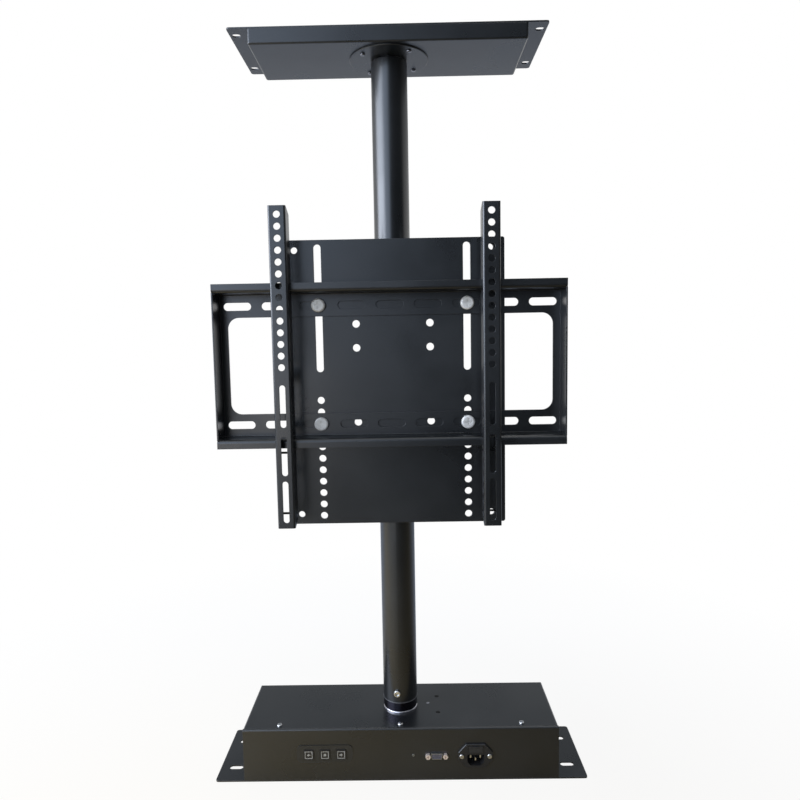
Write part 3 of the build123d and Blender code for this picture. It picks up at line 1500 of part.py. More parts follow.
pieces = {
    "base_chassis": make_base_chassis(),
    "front_panel": make_front_panel(),
    "top_cover": make_top_cover(),
    "cover_screws": make_cover_screws(),
    "key_bezel": make_key_bezel(),
    "left_key": make_key(left_key_x),
    "stop_key": make_key(stop_key_x),
    "right_key": make_key(right_key_x),
    "key_switches": make_key_switches(),
    "key_board": make_key_board(),
    "status_lamp": make_status_lamp(),
    "port_shell": make_port_shell(),
    "port_insert": make_port_insert(),
    "port_pins": make_port_pins(),
    "port_posts": make_port_posts(),
    "mains_inlet": make_mains_inlet(),
    "inlet_blades": make_inlet_blades(),
    "inlet_screws": make_inlet_screws(),
    "fuse_drawer": make_fuse_drawer(),
    "fuse": make_fuse(),
    "driven_gear": make_driven_gear(),
    "drive_pinion": make_drive_pinion(),
    "drive_motor": make_drive_motor(),
    "motor_hanger": make_motor_hanger(),
    "hanger_screws": make_hanger_screws(),
    "lower_housing": make_lower_housing(),
    "lower_housing_screws": make_lower_housing_screws(),
    "lower_bearing_inner": bearing_inner(*lower_ring),
    "lower_bearing_outer": bearing_outer(*lower_ring),
    "lower_bearing_balls": bearing_balls(*lower_ring, lower_bearing_balls),
    "spindle": make_spindle(),
    "hub_bush": make_hub_bush(),
    "limit_cam": make_limit_cam(),
    "limit_switches": make_limit_switches(),
    "limit_bracket": make_limit_bracket(),
    "control_board": make_control_board(),
    "board_standoffs": make_board_standoffs(),
    "board_parts": make_board_parts(),
    "power_supply": make_power_supply(),
    "pole": make_pole(),
    "pole_lock_screws": make_pole_lock_screws(),
    "upper_journal": make_upper_journal(),
    "upper_bearing_inner": bearing_inner(*upper_ring),
    "upper_bearing_outer": bearing_outer(*upper_ring),
    "upper_bearing_balls": bearing_balls(*upper_ring, upper_bearing_balls),
    "upper_housing": make_upper_housing(),
    "disc_screws": make_disc_screws(),
    "tray_pan": make_tray_pan(),
    "tray_plate": make_tray_plate(),
    "clamp_saddles": make_clamp_saddles(),
    "clamp_straps": make_clamp_straps(),
    "clamp_bolts": make_clamp_bolts(),
    "backing_plate": make_backing_plate(),
    "wall_plate": make_wall_plate(),
    "wall_bolts": make_wall_bolts(),
    "wall_nuts": make_wall_nuts(),
    "left_arm": arm_with_pin_holes(left_arm_x),
    "right_arm": arm_with_pin_holes(right_arm_x),
    "left_arm_pins": make_arm_pins(left_arm_x),
    "right_arm_pins": make_arm_pins(right_arm_x),
}

os.makedirs("parts", exist_ok=True)
for name, piece in pieces.items():
    export_step(piece, f"parts/{name}.step")
print(len(pieces), "nodes written")
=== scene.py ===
# %% [markdown]
# # A swivelling television column, dressed over its CAD frame
# The real object is a black powder-coated steel stand: a drive box on the floor of a cabinet, one pole on a
# turning hub, a tray under the cabinet's top, and a television bracket on the pole. Its shapes are already
# right in the CAD frame, so this lesson is mostly about finishes: what semi-gloss powder coat, zinc plate,
# ground steel and moulded plastic do to light, and how to write each one as a small graph of nodes.

# %% Load the frame
import json
import math

import bpy
import numpy as np
from mathutils import Matrix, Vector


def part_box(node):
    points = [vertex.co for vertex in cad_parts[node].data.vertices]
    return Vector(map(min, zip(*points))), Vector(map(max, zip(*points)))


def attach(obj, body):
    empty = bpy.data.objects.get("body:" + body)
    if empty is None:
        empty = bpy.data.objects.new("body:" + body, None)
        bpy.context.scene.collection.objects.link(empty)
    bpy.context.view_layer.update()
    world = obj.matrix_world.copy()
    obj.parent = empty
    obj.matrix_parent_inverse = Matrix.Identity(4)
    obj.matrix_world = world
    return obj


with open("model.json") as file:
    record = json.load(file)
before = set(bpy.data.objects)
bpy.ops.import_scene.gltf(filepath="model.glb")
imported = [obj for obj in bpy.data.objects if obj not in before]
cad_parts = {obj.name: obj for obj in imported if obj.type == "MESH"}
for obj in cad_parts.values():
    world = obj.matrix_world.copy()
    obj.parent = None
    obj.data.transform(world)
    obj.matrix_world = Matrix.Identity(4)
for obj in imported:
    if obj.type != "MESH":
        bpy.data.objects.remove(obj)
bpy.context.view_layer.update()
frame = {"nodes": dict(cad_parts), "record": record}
nodes = frame["nodes"]
print("nodes in the frame:", len(nodes))

# %% [markdown]
# ## A helper for node graphs
# A finish is a graph: coordinates feed a noise, the noise feeds a colour, a roughness and a bump. Writing the
# same links by hand for every finish is dull, so a small class makes a node and links it in one line. Its
# coordinates are the piece's own, in metres, so a noise of scale 100 has features about a centimetre across.

# %% Helpers for node graphs
NOISE_LOW, NOISE_HIGH = 0.35, 0.65  # nearly all of a noise lies between these two
COLOUR_A, COLOUR_B, COLOUR_OUT = 6, 7, 2  # a Mix node's colour sockets, which share their names with its others


class Graph:
    """A new material's node graph, with its Principled shader ready."""

    def __init__(self, name):
        self.material = bpy.data.materials.new(name)
        self.material.use_nodes = True
        self.tree = self.material.node_tree
        self.shader = self.tree.nodes["Principled BSDF"]
        self.coords = self.tree.nodes.new("ShaderNodeTexCoord").outputs["Object"]

    def node(self, kind, links=None, **values):
        """Makes a node, sets its properties or sockets by name, and links its inputs."""
        made = self.tree.nodes.new(kind)
        for key, value in values.items():
            if hasattr(made, key):
                setattr(made, key, value)
            else:
                made.inputs[key.replace("_", " ")].default_value = value
        for socket, source in (links or {}).items():
            self.tree.links.new(source, made.inputs[socket])
        return made

    def stretched(self, scale):
        """The piece's own coordinates, multiplied along each axis for a pattern."""
        return self.node("ShaderNodeMapping", {"Vector": self.coords}, Scale=scale).outputs["Vector"]

    def noise(self, scale, detail=3.0, where=None):
        """A noise whose features are about one part in scale of a metre."""
        links = {"Vector": where or self.coords}
        return self.node("ShaderNodeTexNoise", links, Scale=scale, Detail=detail).outputs["Fac"]

    def spread(self, fac, low, high, start=NOISE_LOW, end=NOISE_HIGH):
        """Turns a number between start and end into one between low and high, on a straight line."""
        made = self.node("ShaderNodeMapRange", {"Value": fac},
                         From_Min=start, From_Max=end, To_Min=low, To_Max=high)
        return made.outputs["Result"]

    def share(self, fac, start=NOISE_LOW, end=NOISE_HIGH):
        """How far a number has come from start to end: 0 at the start and 1 at the end."""
        return self.spread(fac, 0.0, 1.0, start, end)

    def blend(self, fac, first, second):
        """Mixes two colours, or two colour sockets, by a factor."""
        made = self.node("ShaderNodeMix", data_type="RGBA")
        self.tree.links.new(fac, made.inputs["Factor"])
        for socket, value in ((made.inputs[COLOUR_A], first), (made.inputs[COLOUR_B], second)):
            if isinstance(value, bpy.types.NodeSocket):
                self.tree.links.new(value, socket)
            else:
                socket.default_value = (*value, 1.0)
        return made.outputs[COLOUR_OUT]

    def bump(self, height, strength, distance, below=None):
        """A bump of a real height in metres, laid over another normal if one is given."""
        links = {"Height": height}
        if below is not None:
            links["Normal"] = below
        return self.node("ShaderNodeBump", links, Strength=strength, Distance=distance).outputs["Normal"]

    def into(self, socket, value):
        """Links a socket of the shader, or sets it to a plain value."""
        if isinstance(value, bpy.types.NodeSocket):
            self.tree.links.new(value, self.shader.inputs[socket])
        else:
            self.shader.inputs[socket].default_value = value


def scaled(colour, factor):
    """A colour with its three parts multiplied by one number."""
    return tuple(factor * part for part in colour)


print("a noise is read from", NOISE_LOW, "to", NOISE_HIGH)

# %% [markdown]
# ## Black powder coat
# Powder coat is a baked plastic skin, not bare metal, so its metallic value is zero. Three things make it read
# as real: a fine orange-peel texture, roughness that drifts a little from place to place, and a soft rounding
# where the skin flows over a sheet's edge. The rounding is a shader trick here, because the CAD mesh stays
# as it is: the Bevel node bends the normal within 0.7 millimetres of an edge, and where the bent normal leaves
# the true one, the colour goes over to a paler one, which is a painted highlight along the rounded edge.

# %% Powder coat
DRIFT, PEEL, SPECK = 9.0, 620.0, 2400.0  # scales of the slow drift, the orange peel and the powder's grains
PEEL_STRENGTH, PEEL_HEIGHT = 0.22, 0.00012
SPECK_STRENGTH, SPECK_HEIGHT = 0.08, 0.00005
RIM_FULL, RIM_GONE = 0.80, 0.995  # cosines between bent and true normal: the edge's colour is full, then gone
DRIFT_TONE = 1.28


def powder_coat(name, deep, edge_highlight, rough_low, rough_high, edge=0.0007, shine=0.8):
    """Powder coat: orange peel from two noises, and a paler colour, a painted highlight, within edge metres of
    a sheet's edge.
    """
    g = Graph(name)
    drift = g.noise(DRIFT, 4.0)
    peel = g.noise(PEEL, 2.0)
    speck = g.noise(SPECK, 1.0)
    soft = g.node("ShaderNodeBevel", samples=4, Radius=edge).outputs["Normal"]
    hard = g.node("ShaderNodeNewGeometry").outputs["Normal"]
    likeness = g.node("ShaderNodeVectorMath", {0: soft, 1: hard}, operation="DOT_PRODUCT").outputs["Value"]
    # The share of the painted edge highlight: 1 where the bent normal leaves the true one, 0 on the flat.
    edge_highlight_share = g.spread(likeness, 1.0, 0.0, RIM_FULL, RIM_GONE)
    tone = g.blend(g.share(drift), deep, scaled(deep, DRIFT_TONE))
    g.into("Base Color", g.blend(edge_highlight_share, tone, edge_highlight))
    g.into("Roughness", g.spread(drift, rough_low, rough_high))
    g.into("Specular IOR Level", shine)
    skin = g.bump(peel, PEEL_STRENGTH, PEEL_HEIGHT, soft)
    g.into("Normal", g.bump(speck, SPECK_STRENGTH, SPECK_HEIGHT, skin))
    return g.material


# Each coat's second colour below is paler than its first: a painted highlight along its rounded edges.
COAT = (0.0072, 0.0082, 0.0094)
EDGE_HIGHLIGHT = (0.036, 0.038, 0.041)
IRON, IRON_EDGE_HIGHLIGHT = (0.05, 0.05, 0.055), (0.12, 0.12, 0.12)
SCREW_BLACK, SCREW_EDGE_HIGHLIGHT = (0.003, 0.003, 0.003), (0.01, 0.01, 0.01)
PIN_BLACK, PIN_EDGE_HIGHLIGHT = (0.004, 0.004, 0.004), (0.012, 0.012, 0.012)
finishes = {
    "black_coat": powder_coat("black_coat", COAT, EDGE_HIGHLIGHT, 0.26, 0.36),
    "dark_screws": powder_coat("dark_screws", SCREW_BLACK, SCREW_EDGE_HIGHLIGHT, 0.5, 0.6, shine=0.2),
    "housing_iron": powder_coat("housing_iron", IRON, IRON_EDGE_HIGHLIGHT, 0.45, 0.6, shine=0.5),
}
pin_black = powder_coat("pin_black", PIN_BLACK, PIN_EDGE_HIGHLIGHT, 0.42, 0.55, shine=0.3)
special = {"left_arm_pins": pin_black, "right_arm_pins": pin_black}
print("coats:", *finishes, pin_black.name)

# %% [markdown]
# ## Plated and bare metals
# Bright zinc on the bolts, ground steel on the bearings and plain steel on the brackets differ in colour and
# roughness, and in how the tool marks run. A sheet has straight brushing and a turned part has marks round its
# axis. Squeezing a noise along one axis gives both, because marks round a vertical axis are level lines.
# The bolts' zinc is dull from its bath, so only part of their light comes back as a metal's.

# %% Metals
GRAIN_STRENGTH = 0.25
CLOUD = 60.0
METAL_DARK = 0.82
PLAIN = (1.0, 1.0, 1.0)
TURNED = (1.0, 1.0, 9.0)
ROLLED = (9.0, 1.0, 1.0)


def metal(name, colour, rough_low, rough_high, stretch=PLAIN, grain=1400.0, depth=0.00003, bare=1.0):
    """A metal whose grain is squeezed along one axis, with a cloudy colour; bare is its metallic share."""
    g = Graph(name)
    grain_noise = g.noise(grain, 3.0, g.stretched(stretch))
    cloud = g.noise(CLOUD, 4.0)
    g.into("Base Color", g.blend(g.share(cloud), scaled(colour, METAL_DARK), colour))
    g.into("Metallic", bare)
    g.into("Roughness", g.spread(grain_noise, rough_low, rough_high))
    g.into("Normal", g.bump(grain_noise, GRAIN_STRENGTH, depth))
    return g.material


finishes.update({
    "screw_steel": metal("screw_steel", (0.74, 0.74, 0.75), 0.14, 0.28),
    "bearing_steel": metal("bearing_steel", (0.70, 0.71, 0.73), 0.08, 0.16, grain=2600.0),
    "bush_metal": metal("bush_metal", (0.70, 0.69, 0.74), 0.2, 0.32, stretch=TURNED),
    "plain_steel": metal("plain_steel", (0.55, 0.56, 0.58), 0.3, 0.45, stretch=ROLLED),
    "pinion_brass": metal("pinion_brass", (0.80, 0.60, 0.28), 0.18, 0.3),
    "blade_nickel": metal("blade_nickel", (0.74, 0.73, 0.70), 0.2, 0.3),
    "motor_case": metal("motor_case", (0.56, 0.57, 0.58), 0.28, 0.4, stretch=(1.0, 1.0, 8.0)),
})
special.update({
    "spindle": metal("black_oxide", (0.052, 0.050, 0.066), 0.22, 0.32, stretch=TURNED),
    "wall_bolts": metal("bolt_zinc", (0.97, 0.97, 0.95), 0.40, 0.52, grain=500.0, bare=0.2),
    "port_posts": metal("post_nickel", (0.96, 0.84, 0.78), 0.30, 0.42, bare=0.6),
    "disc_screws": metal("screw_grey", (0.24, 0.24, 0.26), 0.25, 0.35),
})
print("finishes with the metals:", len(finishes), "by slot and", len(special), "by node")

# %% [markdown]
# ## Moulded plastics
# Moulded plastic gets its look from the tool it was cast in: a fine spark-eroded texture, even colour, and a
# dielectric shine. One fine noise does both jobs: it pits the surface, and it scatters the roughness with it.

# %% Moulded plastics
HAZE = 140.0
HAZE_TONE = 1.2
PIT_STRENGTH = 0.3


def moulded(name, colour, rough_low, rough_high, texture=900.0, depth=0.00005):
    """Moulded plastic with a spark-eroded texture and a slight clouding of its colour."""
    g = Graph(name)
    haze = g.noise(HAZE, 3.0)
    pits = g.noise(texture, 2.0)
    g.into("Base Color", g.blend(g.share(haze), colour, scaled(colour, HAZE_TONE)))
    g.into("Roughness", g.spread(pits, rough_low, rough_high))
    g.into("Normal", g.bump(pits, PIT_STRENGTH, depth))
    return g.material


finishes.update({
    "black_plastic": moulded("black_plastic", (0.012, 0.012, 0.013), 0.36, 0.5),
    "port_plastic": moulded("port_plastic", (0.10, 0.10, 0.13), 0.35, 0.5),
    "key_plastic": moulded("key_plastic", (0.016, 0.016, 0.018), 0.26, 0.36, texture=1300.0),
    "grey_plastic": moulded("grey_plastic", (0.075, 0.075, 0.08), 0.4, 0.55),
    "standoff_plastic": moulded("standoff_plastic", (0.72, 0.72, 0.68), 0.4, 0.5),
    "board_dark": moulded("board_dark", (0.03, 0.04, 0.07), 0.35, 0.5),
})
special.update({
    "fuse_drawer": moulded("drawer_plastic", (0.022, 0.022, 0.023), 0.4, 0.55),
    "key_bezel": moulded("bezel_plastic", (0.020, 0.020, 0.019), 0.34, 0.44),
})
print("finishes with the plastics:", len(finishes), "by slot and", len(special), "by node")

# %% [markdown]
# ## The circuit boards and the clear pieces
# The boards hide inside the box, and get their real finish all the same: green lacquer over paler copper
# tracks, which a brick pattern suggests with its mortar lines. The lamp's lens and the fuse's tube
# let light through, with a faint unevenness that keeps them from looking like a perfect block.

# %% Boards and clear pieces
TRACKS = (160.0, 160.0, 160.0)
TRACK_WIDTH = 0.05
TRACK_HEIGHT = 0.00003
SECOND_LACQUER = 0.8


def lacquered_board(name, lacquer, track):
    """Lacquer with slightly paler tracks: a brick pattern's mortar lines, a fraction of a millimetre wide."""
    g = Graph(name)
    bricks = g.node("ShaderNodeTexBrick", {"Vector": g.stretched(TRACKS)}, Mortar_Size=TRACK_WIDTH,
                    Mortar=(*track, 1.0), Color1=(*lacquer, 1.0),
                    Color2=(*scaled(lacquer, SECOND_LACQUER), 1.0))
    g.into("Base Color", bricks.outputs["Color"])
    g.into("Roughness", g.spread(g.noise(300.0), 0.25, 0.4))
    g.into("Normal", g.bump(bricks.outputs["Fac"], 0.2, TRACK_HEIGHT))
    return g.material


CLEAR_SHARE = 0.7
GLASS_IOR = 1.5
WAVE_HEIGHT = 0.00003


def clear_glass(name, tint, rough):
    """Clear glass or lens plastic: part of the light goes through, and two noises cloud it and bend it."""
    g = Graph(name)
    g.into("Base Color", g.blend(g.noise(200.0), tint, scaled(tint, 0.9)))
    g.into("Transmission Weight", CLEAR_SHARE)
    g.into("Roughness", rough)
    g.into("IOR", GLASS_IOR)
    g.into("Normal", g.bump(g.noise(500.0), 0.1, WAVE_HEIGHT))
    return g.material


finishes.update({
    "board_green": lacquered_board("board_green", (0.02, 0.14, 0.05), (0.05, 0.24, 0.10)),
    "lamp_lens": clear_glass("lamp_lens", (0.42, 0.43, 0.38), 0.3),
    "fuse_glass": clear_glass("fuse_glass", (0.85, 0.88, 0.88), 0.05),
})
print("finishes in all:", len(finishes), "by slot and", len(special), "by node")

# %% [markdown]
# ## Every CAD node gets its finish
# The record names a material slot for each node, and a finish was made for each slot. A few nodes share a slot
# with others that look different in the photograph, so those have a finish under their own name, which wins.

# %% Give every CAD node its finish
for part in frame["record"]["subparts"]:
    mesh = nodes[part["node"]].data
    mesh.materials.clear()
    mesh.materials.append(special.get(part["node"], finishes[part["material_slot"]]))

# %% [markdown]
# ## A way to put a new piece in
# A surface that numpy worked out is an array of points and a list of faces. The object that shows it stays at
# the origin, with the piece's place in the points themselves, just as the CAD nodes have it.

# %% Helper for new pieces
def add_mesh(name, points, faces, material, smooth=False):
    """Puts points and faces into a new object at the origin, flat or smooth shaded."""
    mesh = bpy.data.meshes.new(name)
    mesh.from_pydata(points.tolist(), [], faces)
    mesh.materials.append(material)
    mesh.polygons.foreach_set("use_smooth", np.full(len(mesh.polygons), smooth))
    mesh.update()
    piece = bpy.data.objects.new(name, mesh)
    bpy.context.scene.collection.objects.link(piece)
    print(name, "has", len(points), "points and", len(faces), "faces")
    return piece


# %% [markdown]
# ## Marks on the three keys
# Each key carries a printed square outline with a sign inside: turn left, stop, turn right. Real print stands
# a few hundredths of a millimetre proud of the key's shallow dish, so a mark is a flat outline carried a tiny
# way along Y. An outline is a list of corners; walls join each corner to its twin on the other side.

# %% Outlines carried along Y
def prism(outline, hole, y_front, y_back):
    """A flat outline, or a band between it and a hole of as many corners: (x, z) becomes (x, y, z) at two y."""
    rings = [np.asarray(outline, float)] + ([] if hole is None else [np.asarray(hole, float)])
    points = np.vstack([np.column_stack([ring[:, 0], np.full(len(ring), y), ring[:, 1]])
                        for ring in rings for y in (y_front, y_back)])
    count = len(rings[0])
    index = np.arange(count)
    following = (index + 1) % count
    if hole is None:
        front, back = index, index + count
        walls = np.column_stack([back, following + count, following, front]).tolist()
        return points, [list(front), list(back[::-1])] + walls
    outer_front, outer_back, inner_front, inner_back = (
        (index + turn * count, following + turn * count) for turn in range(4))
    around = [(outer_front, inner_front), (inner_back, outer_back), (outer_back, outer_front),
              (inner_front, inner_back)]
    faces = []
    for (here, after), (there, beyond) in around:
        faces += np.column_stack([here, after, beyond, there]).tolist()
    return points, faces


def joined(pieces):
    """Several point and face lists as one, with the later faces' numbers moved up."""
    points, faces, start = [], [], 0
    for piece_points, piece_faces in pieces:
        points.append(piece_points)
        faces += [[corner + start for corner in face] for face in piece_faces]
        start += len(piece_points)
    return np.vstack(points), faces


def square(x, z, half):
    """The four corners of a square, counter-clockwise seen from the front."""
    return np.array([(-1, -1), (1, -1), (1, 1), (-1, 1)]) * half + (x, z)


print("a square of half width 1:", square(0.0, 0.0, 1.0).tolist())

# %% [markdown]
# ## The signs
# An arrow is seven corners, and the arrow to the right is the arrow to the left turned by half a turn. That
# turn changes both signs of every corner, so the corners still run the same way round.

# %% Printed marks
MM = 0.001
HALF_OUTLINE, HALF_INSIDE = 0.0055, 0.0045
DISH_DEPTH = 0.00035
PRINT = 0.00006
left_arrow = np.array([(-2.6, 0.0), (0.2, -2.4), (0.2, -0.8), (2.6, -0.8), (2.6, 0.8), (0.2, 0.8), (0.2, 2.4)])
signs = {"left_key": left_arrow, "stop_key": square(0.0, 0.0, 1.8), "right_key": -left_arrow}
ink = moulded("mark_ink", (0.30, 0.30, 0.29), 0.45, 0.55, texture=1500.0, depth=0.00001)
for key, sign in signs.items():
    low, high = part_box(key)
    x = (low[0] + high[0]) / 2
    z = (low[2] + high[2]) / 2
    y = low[1] + DISH_DEPTH
    band = prism(square(x, z, HALF_OUTLINE), square(x, z, HALF_INSIDE), y - PRINT, y + PRINT)
    middle = prism(sign * MM + (x, z), None, y - PRINT, y + PRINT)
    mark = add_mesh(f"{key}_mark", *joined([band, middle]), ink)
    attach(mark, key)
    print(mark.name, "at", round(x, 4), round(z, 4))

# %% [markdown]
# ## Turned shapes
# Two small pieces are turned ones: a profile of radii and heights carried round a vertical axis. The points
# are one row for each point of the profile, and the faces join each row to the next.

# %% Helpers for turned shapes
def full_circle(steps):
    """Angles once round, without the last one, which would be the first again."""
    return np.linspace(0.0, 2.0 * np.pi, steps, endpoint=False)


def turned(profile, centre, steps):
    """A profile of (radius, height) points turned about a vertical axis: x = r cos a, y = r sin a, z = h."""
    angle = full_circle(steps)
    ring = np.stack([np.cos(angle), np.sin(angle)], axis=1)
    xy = profile[:, None, :1] * ring[None, :, :]
    z = np.broadcast_to(profile[:, None, 1:], (len(profile), steps, 1))
    return np.concatenate([xy, z], axis=2).reshape(-1, 3) + centre


def grid_faces(rows, steps, closed):
    """Quads between each row of a turned profile and the next, and back to the first row if it is closed."""
    row = np.arange(rows if closed else rows - 1)[:, None]
    step = np.arange(steps)[None, :]
    after = (step + 1) % steps
    above = (row + 1) % rows
    corners = [row * steps + step, row * steps + after, above * steps + after, above * steps + step]
    return np.stack(corners, axis=2).reshape(-1, 4).tolist()


print("one turn in four steps:", full_circle(4).round(2).tolist())

# %% [markdown]
# ## The lip at the pole's foot
# A thin line of light runs round the pole's foot, above the dark hub. It is read here as a bead, which powder
# coat can form on a tube's lower rim. Its round section catches light, and its tone, much paler than the
# pole's coat, is a painted highlight for the rest of that line. A bead is a small circle carried round a large
# one, so its profile is that small circle, a little sunk in the pole.

# %% Bead of coat
BEAD = 0.0007
BEAD_SUNK = 0.2 * BEAD
BEAD_STEPS, POLE_STEPS = 12, 96
# The bead's tone is a painted highlight, paler than the pole's coat.
BEAD_HIGHLIGHT_TONE = (0.05, 0.052, 0.058)
pole_low, pole_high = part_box("pole")
pole_axis = [(pole_low[0] + pole_high[0]) / 2, (pole_low[1] + pole_high[1]) / 2, 0.0]
pole_radius = (pole_high[0] - pole_low[0]) / 2
small_angle = full_circle(BEAD_STEPS)
bead_profile = np.column_stack([pole_radius - BEAD_SUNK + BEAD * np.cos(small_angle),
                                pole_low[2] + BEAD + BEAD * np.sin(small_angle)])
bead_highlight_coat = powder_coat("bead_highlight_coat", BEAD_HIGHLIGHT_TONE, BEAD_HIGHLIGHT_TONE, 0.3, 0.4)
bead = add_mesh("pole_foot_bead", turned(bead_profile, pole_axis, POLE_STEPS),
                grid_faces(BEAD_STEPS, POLE_STEPS, True), bead_highlight_coat, True)
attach(bead, "column")
print("the bead runs round a radius of", round(pole_radius / MM, 2), "mm")

# %% [markdown]
# ## The plug in the cover
# A pale dot shows on the cover beside the hub. It is read here as a plastic plug in a spare hole: a flat dome
# with a short wall that stands in the cover. The dome's height falls with the square of the radius.

# %% Plug
PLUG_RADIUS, PLUG_HEIGHT = 0.0026, 0.0007
PLUG_SUNK = 0.3 * PLUG_HEIGHT
PLUG_X, PLUG_Y = 0.0417, 0.0035
PLUG_STEPS = 32
cover_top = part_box("top_cover")[1][2]
radius_share = np.linspace(1.0, 0.04, 7)
rise = np.concatenate([[-PLUG_SUNK], PLUG_HEIGHT * (1.0 - radius_share ** 2)])
plug_profile = np.column_stack([PLUG_RADIUS * np.concatenate([[1.0], radius_share]), rise])
last_row = (len(plug_profile) - 1) * PLUG_STEPS
plug_faces = grid_faces(len(plug_profile), PLUG_STEPS, False)
plug_faces.append(list(range(last_row, last_row + PLUG_STEPS)))
plug_faces.append(list(range(PLUG_STEPS - 1, -1, -1)))
plug_plastic = moulded("plug_plastic", (0.20, 0.20, 0.22), 0.35, 0.5)
plug_points = turned(plug_profile, [PLUG_X, PLUG_Y, cover_top], PLUG_STEPS)
plug = add_mesh("cover_plug", plug_points, plug_faces, plug_plastic, True)
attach(plug, "frame")
print("the plug stands on the cover at", round(cover_top / MM, 1), "mm")

# %% [markdown]
# ## The room
# The photograph shows the column cut out on white, lit by a soft cool light from the left, with a darker room
# on the camera's right. A black glossy coat shows its surroundings more than its own colour, so the world a
# reflection meets is drawn with care: behind the object a pale wall that dims upward, before it a room that is
# bright on the left and dark on the right. A camera ray sees plain white instead, and so does a ray that looks
# through glass. The world's own coordinates are the direction a ray goes, from -1 to 1 on each axis.

# %% Helpers for the world
world = bpy.data.worlds.new("studio")
bpy.context.scene.world = world
world.use_nodes = True
w = world.node_tree
background = w.nodes["Background"]
rays = w.nodes.new("ShaderNodeLightPath")
direction = w.nodes.new("ShaderNodeTexCoord")
split = w.nodes.new("ShaderNodeSeparateXYZ")
w.links.new(direction.outputs["Generated"], split.inputs["Vector"])


def ramp(source, start, end):
    """How far a number has come from start to end, from 0 to 1, with a smooth curve."""
    made = w.nodes.new("ShaderNodeMapRange")
    made.interpolation_type = "SMOOTHSTEP"
    for name, value in (("From Min", start), ("From Max", end), ("To Min", 0.0), ("To Max", 1.0)):
        made.inputs[name].default_value = value
    w.links.new(source, made.inputs["Value"])
    return made.outputs["Result"]


def mixed(factor, first, second):
    """Mixes two colours or sockets of the world by a factor socket."""
    made = w.nodes.new("ShaderNodeMix")
    made.data_type = "RGBA"
    w.links.new(factor, made.inputs["Factor"])
    for socket, value in ((made.inputs[COLOUR_A], first), (made.inputs[COLOUR_B], second)):
        if isinstance(value, bpy.types.NodeSocket):
            w.links.new(value, socket)
        else:
            socket.default_value = (*value, 1.0)
    return made.outputs[COLOUR_OUT]


print("the world starts with", len(w.nodes), "nodes")

# %% [markdown]
# ## What each kind of ray meets
# The room is built up from pairs: bright or dark side, then low or high, then in front or behind. A matt
# surface gathers light from all round, so its rays meet one even tone instead, and the lamps shape the rest.

# %% World
WINDOW_SIDE, DARK_SIDE = (1.76, 2.12, 2.70), (0.06, 0.07, 0.08)
LOW_WALL, CEILING = (0.05, 0.05, 0.05), (0.95, 1.0, 1.05)
BACK_LOW, BACK_HIGH = (1.0, 1.0, 1.0), (0.20, 0.23, 0.26)
EVEN_LIGHT = (0.50, 0.53, 0.58)
WHITE = (1.0, 1.0, 1.0)
across, along, upward_share = (split.outputs[axis] for axis in "XYZ")
front_wall = mixed(ramp(across, -0.26, 0.0), WINDOW_SIDE, DARK_SIDE)
front_low = mixed(ramp(upward_share, -0.30, 0.10), LOW_WALL, front_wall)
front_room = mixed(ramp(upward_share, 0.60, 0.85), front_low, CEILING)
back_wall = mixed(ramp(upward_share, 0.0, 0.6), BACK_LOW, BACK_HIGH)
room = mixed(ramp(along, -0.28, 0.12), front_room, back_wall)
reflected = mixed(rays.outputs["Is Glossy Ray"], EVEN_LIGHT, room)
through = w.nodes.new("ShaderNodeMath")
through.operation = "MAXIMUM"
w.links.new(rays.outputs["Is Camera Ray"], through.inputs[0])
w.links.new(rays.outputs["Is Transmission Ray"], through.inputs[1])
w.links.new(mixed(through.outputs["Value"], reflected, WHITE), background.inputs["Color"])
background.inputs["Strength"].default_value = 1.0
print("the world has", len(w.nodes), "nodes")

# %% [markdown]
# ## The floor
# The floor is plain and pale behind the object, where the camera sees most of it. In front it is warmer and
# darker toward the right, which is painted shade: the window's light falling off across the floor, drawn for
# the warm reflections low on the drive box. Far out it glows white for the camera, so that it runs into the
# white background without an edge, and near the object it keeps a shadow.

# %% Floor's surface
FLOOR_HALF = 3.5
FLOOR_SIDE = 29
FLOOR_DROP = 0.0004
side = np.linspace(-FLOOR_HALF, FLOOR_HALF, FLOOR_SIDE)
grid_x, grid_y = np.meshgrid(side, side, indexing="ij")
floor_points = np.column_stack([grid_x.ravel(), grid_y.ravel(), np.full(grid_x.size, -FLOOR_DROP)])
step = np.arange(FLOOR_SIDE - 1)
cell = (step[:, None] * FLOOR_SIDE + step[None, :]).ravel()
floor_faces = np.column_stack([cell, cell + FLOOR_SIDE, cell + FLOOR_SIDE + 1, cell + 1]).tolist()
print("floor cells:", len(floor_faces), "of", round(side[1] - side[0], 2), "m")

# %% [markdown]
# ## The floor's paint
# Each tone is a blend along one axis, measured in metres from the pole. The white glow is an emission that only
# a camera ray or a ray through glass can meet, so it throws no light on the object.

# %% Floor's paint
paint = Graph("floor_paint")
where = paint.node("ShaderNodeSeparateXYZ", {"Vector": paint.coords}).outputs
# Both front parts darken from left to right: painted shade of the window's light falling off across the floor.
dark_part = paint.blend(paint.share(where["X"], -0.45, 0.05), (0.13, 0.15, 0.17), (0.035, 0.04, 0.04))
warm_part = paint.blend(paint.share(where["X"], -0.30, 0.30), (0.72, 0.58, 0.33), (0.21, 0.16, 0.07))
pale_part = paint.blend(paint.noise(2.0), (0.58, 0.64, 0.74), (0.62, 0.68, 0.78))
near_part = paint.blend(paint.share(where["Y"], -1.1, -0.25), dark_part, warm_part)
paint.into("Base Color", paint.blend(paint.share(where["Y"], -0.1, 0.5), near_part, pale_part))
paint.into("Roughness", 0.7)

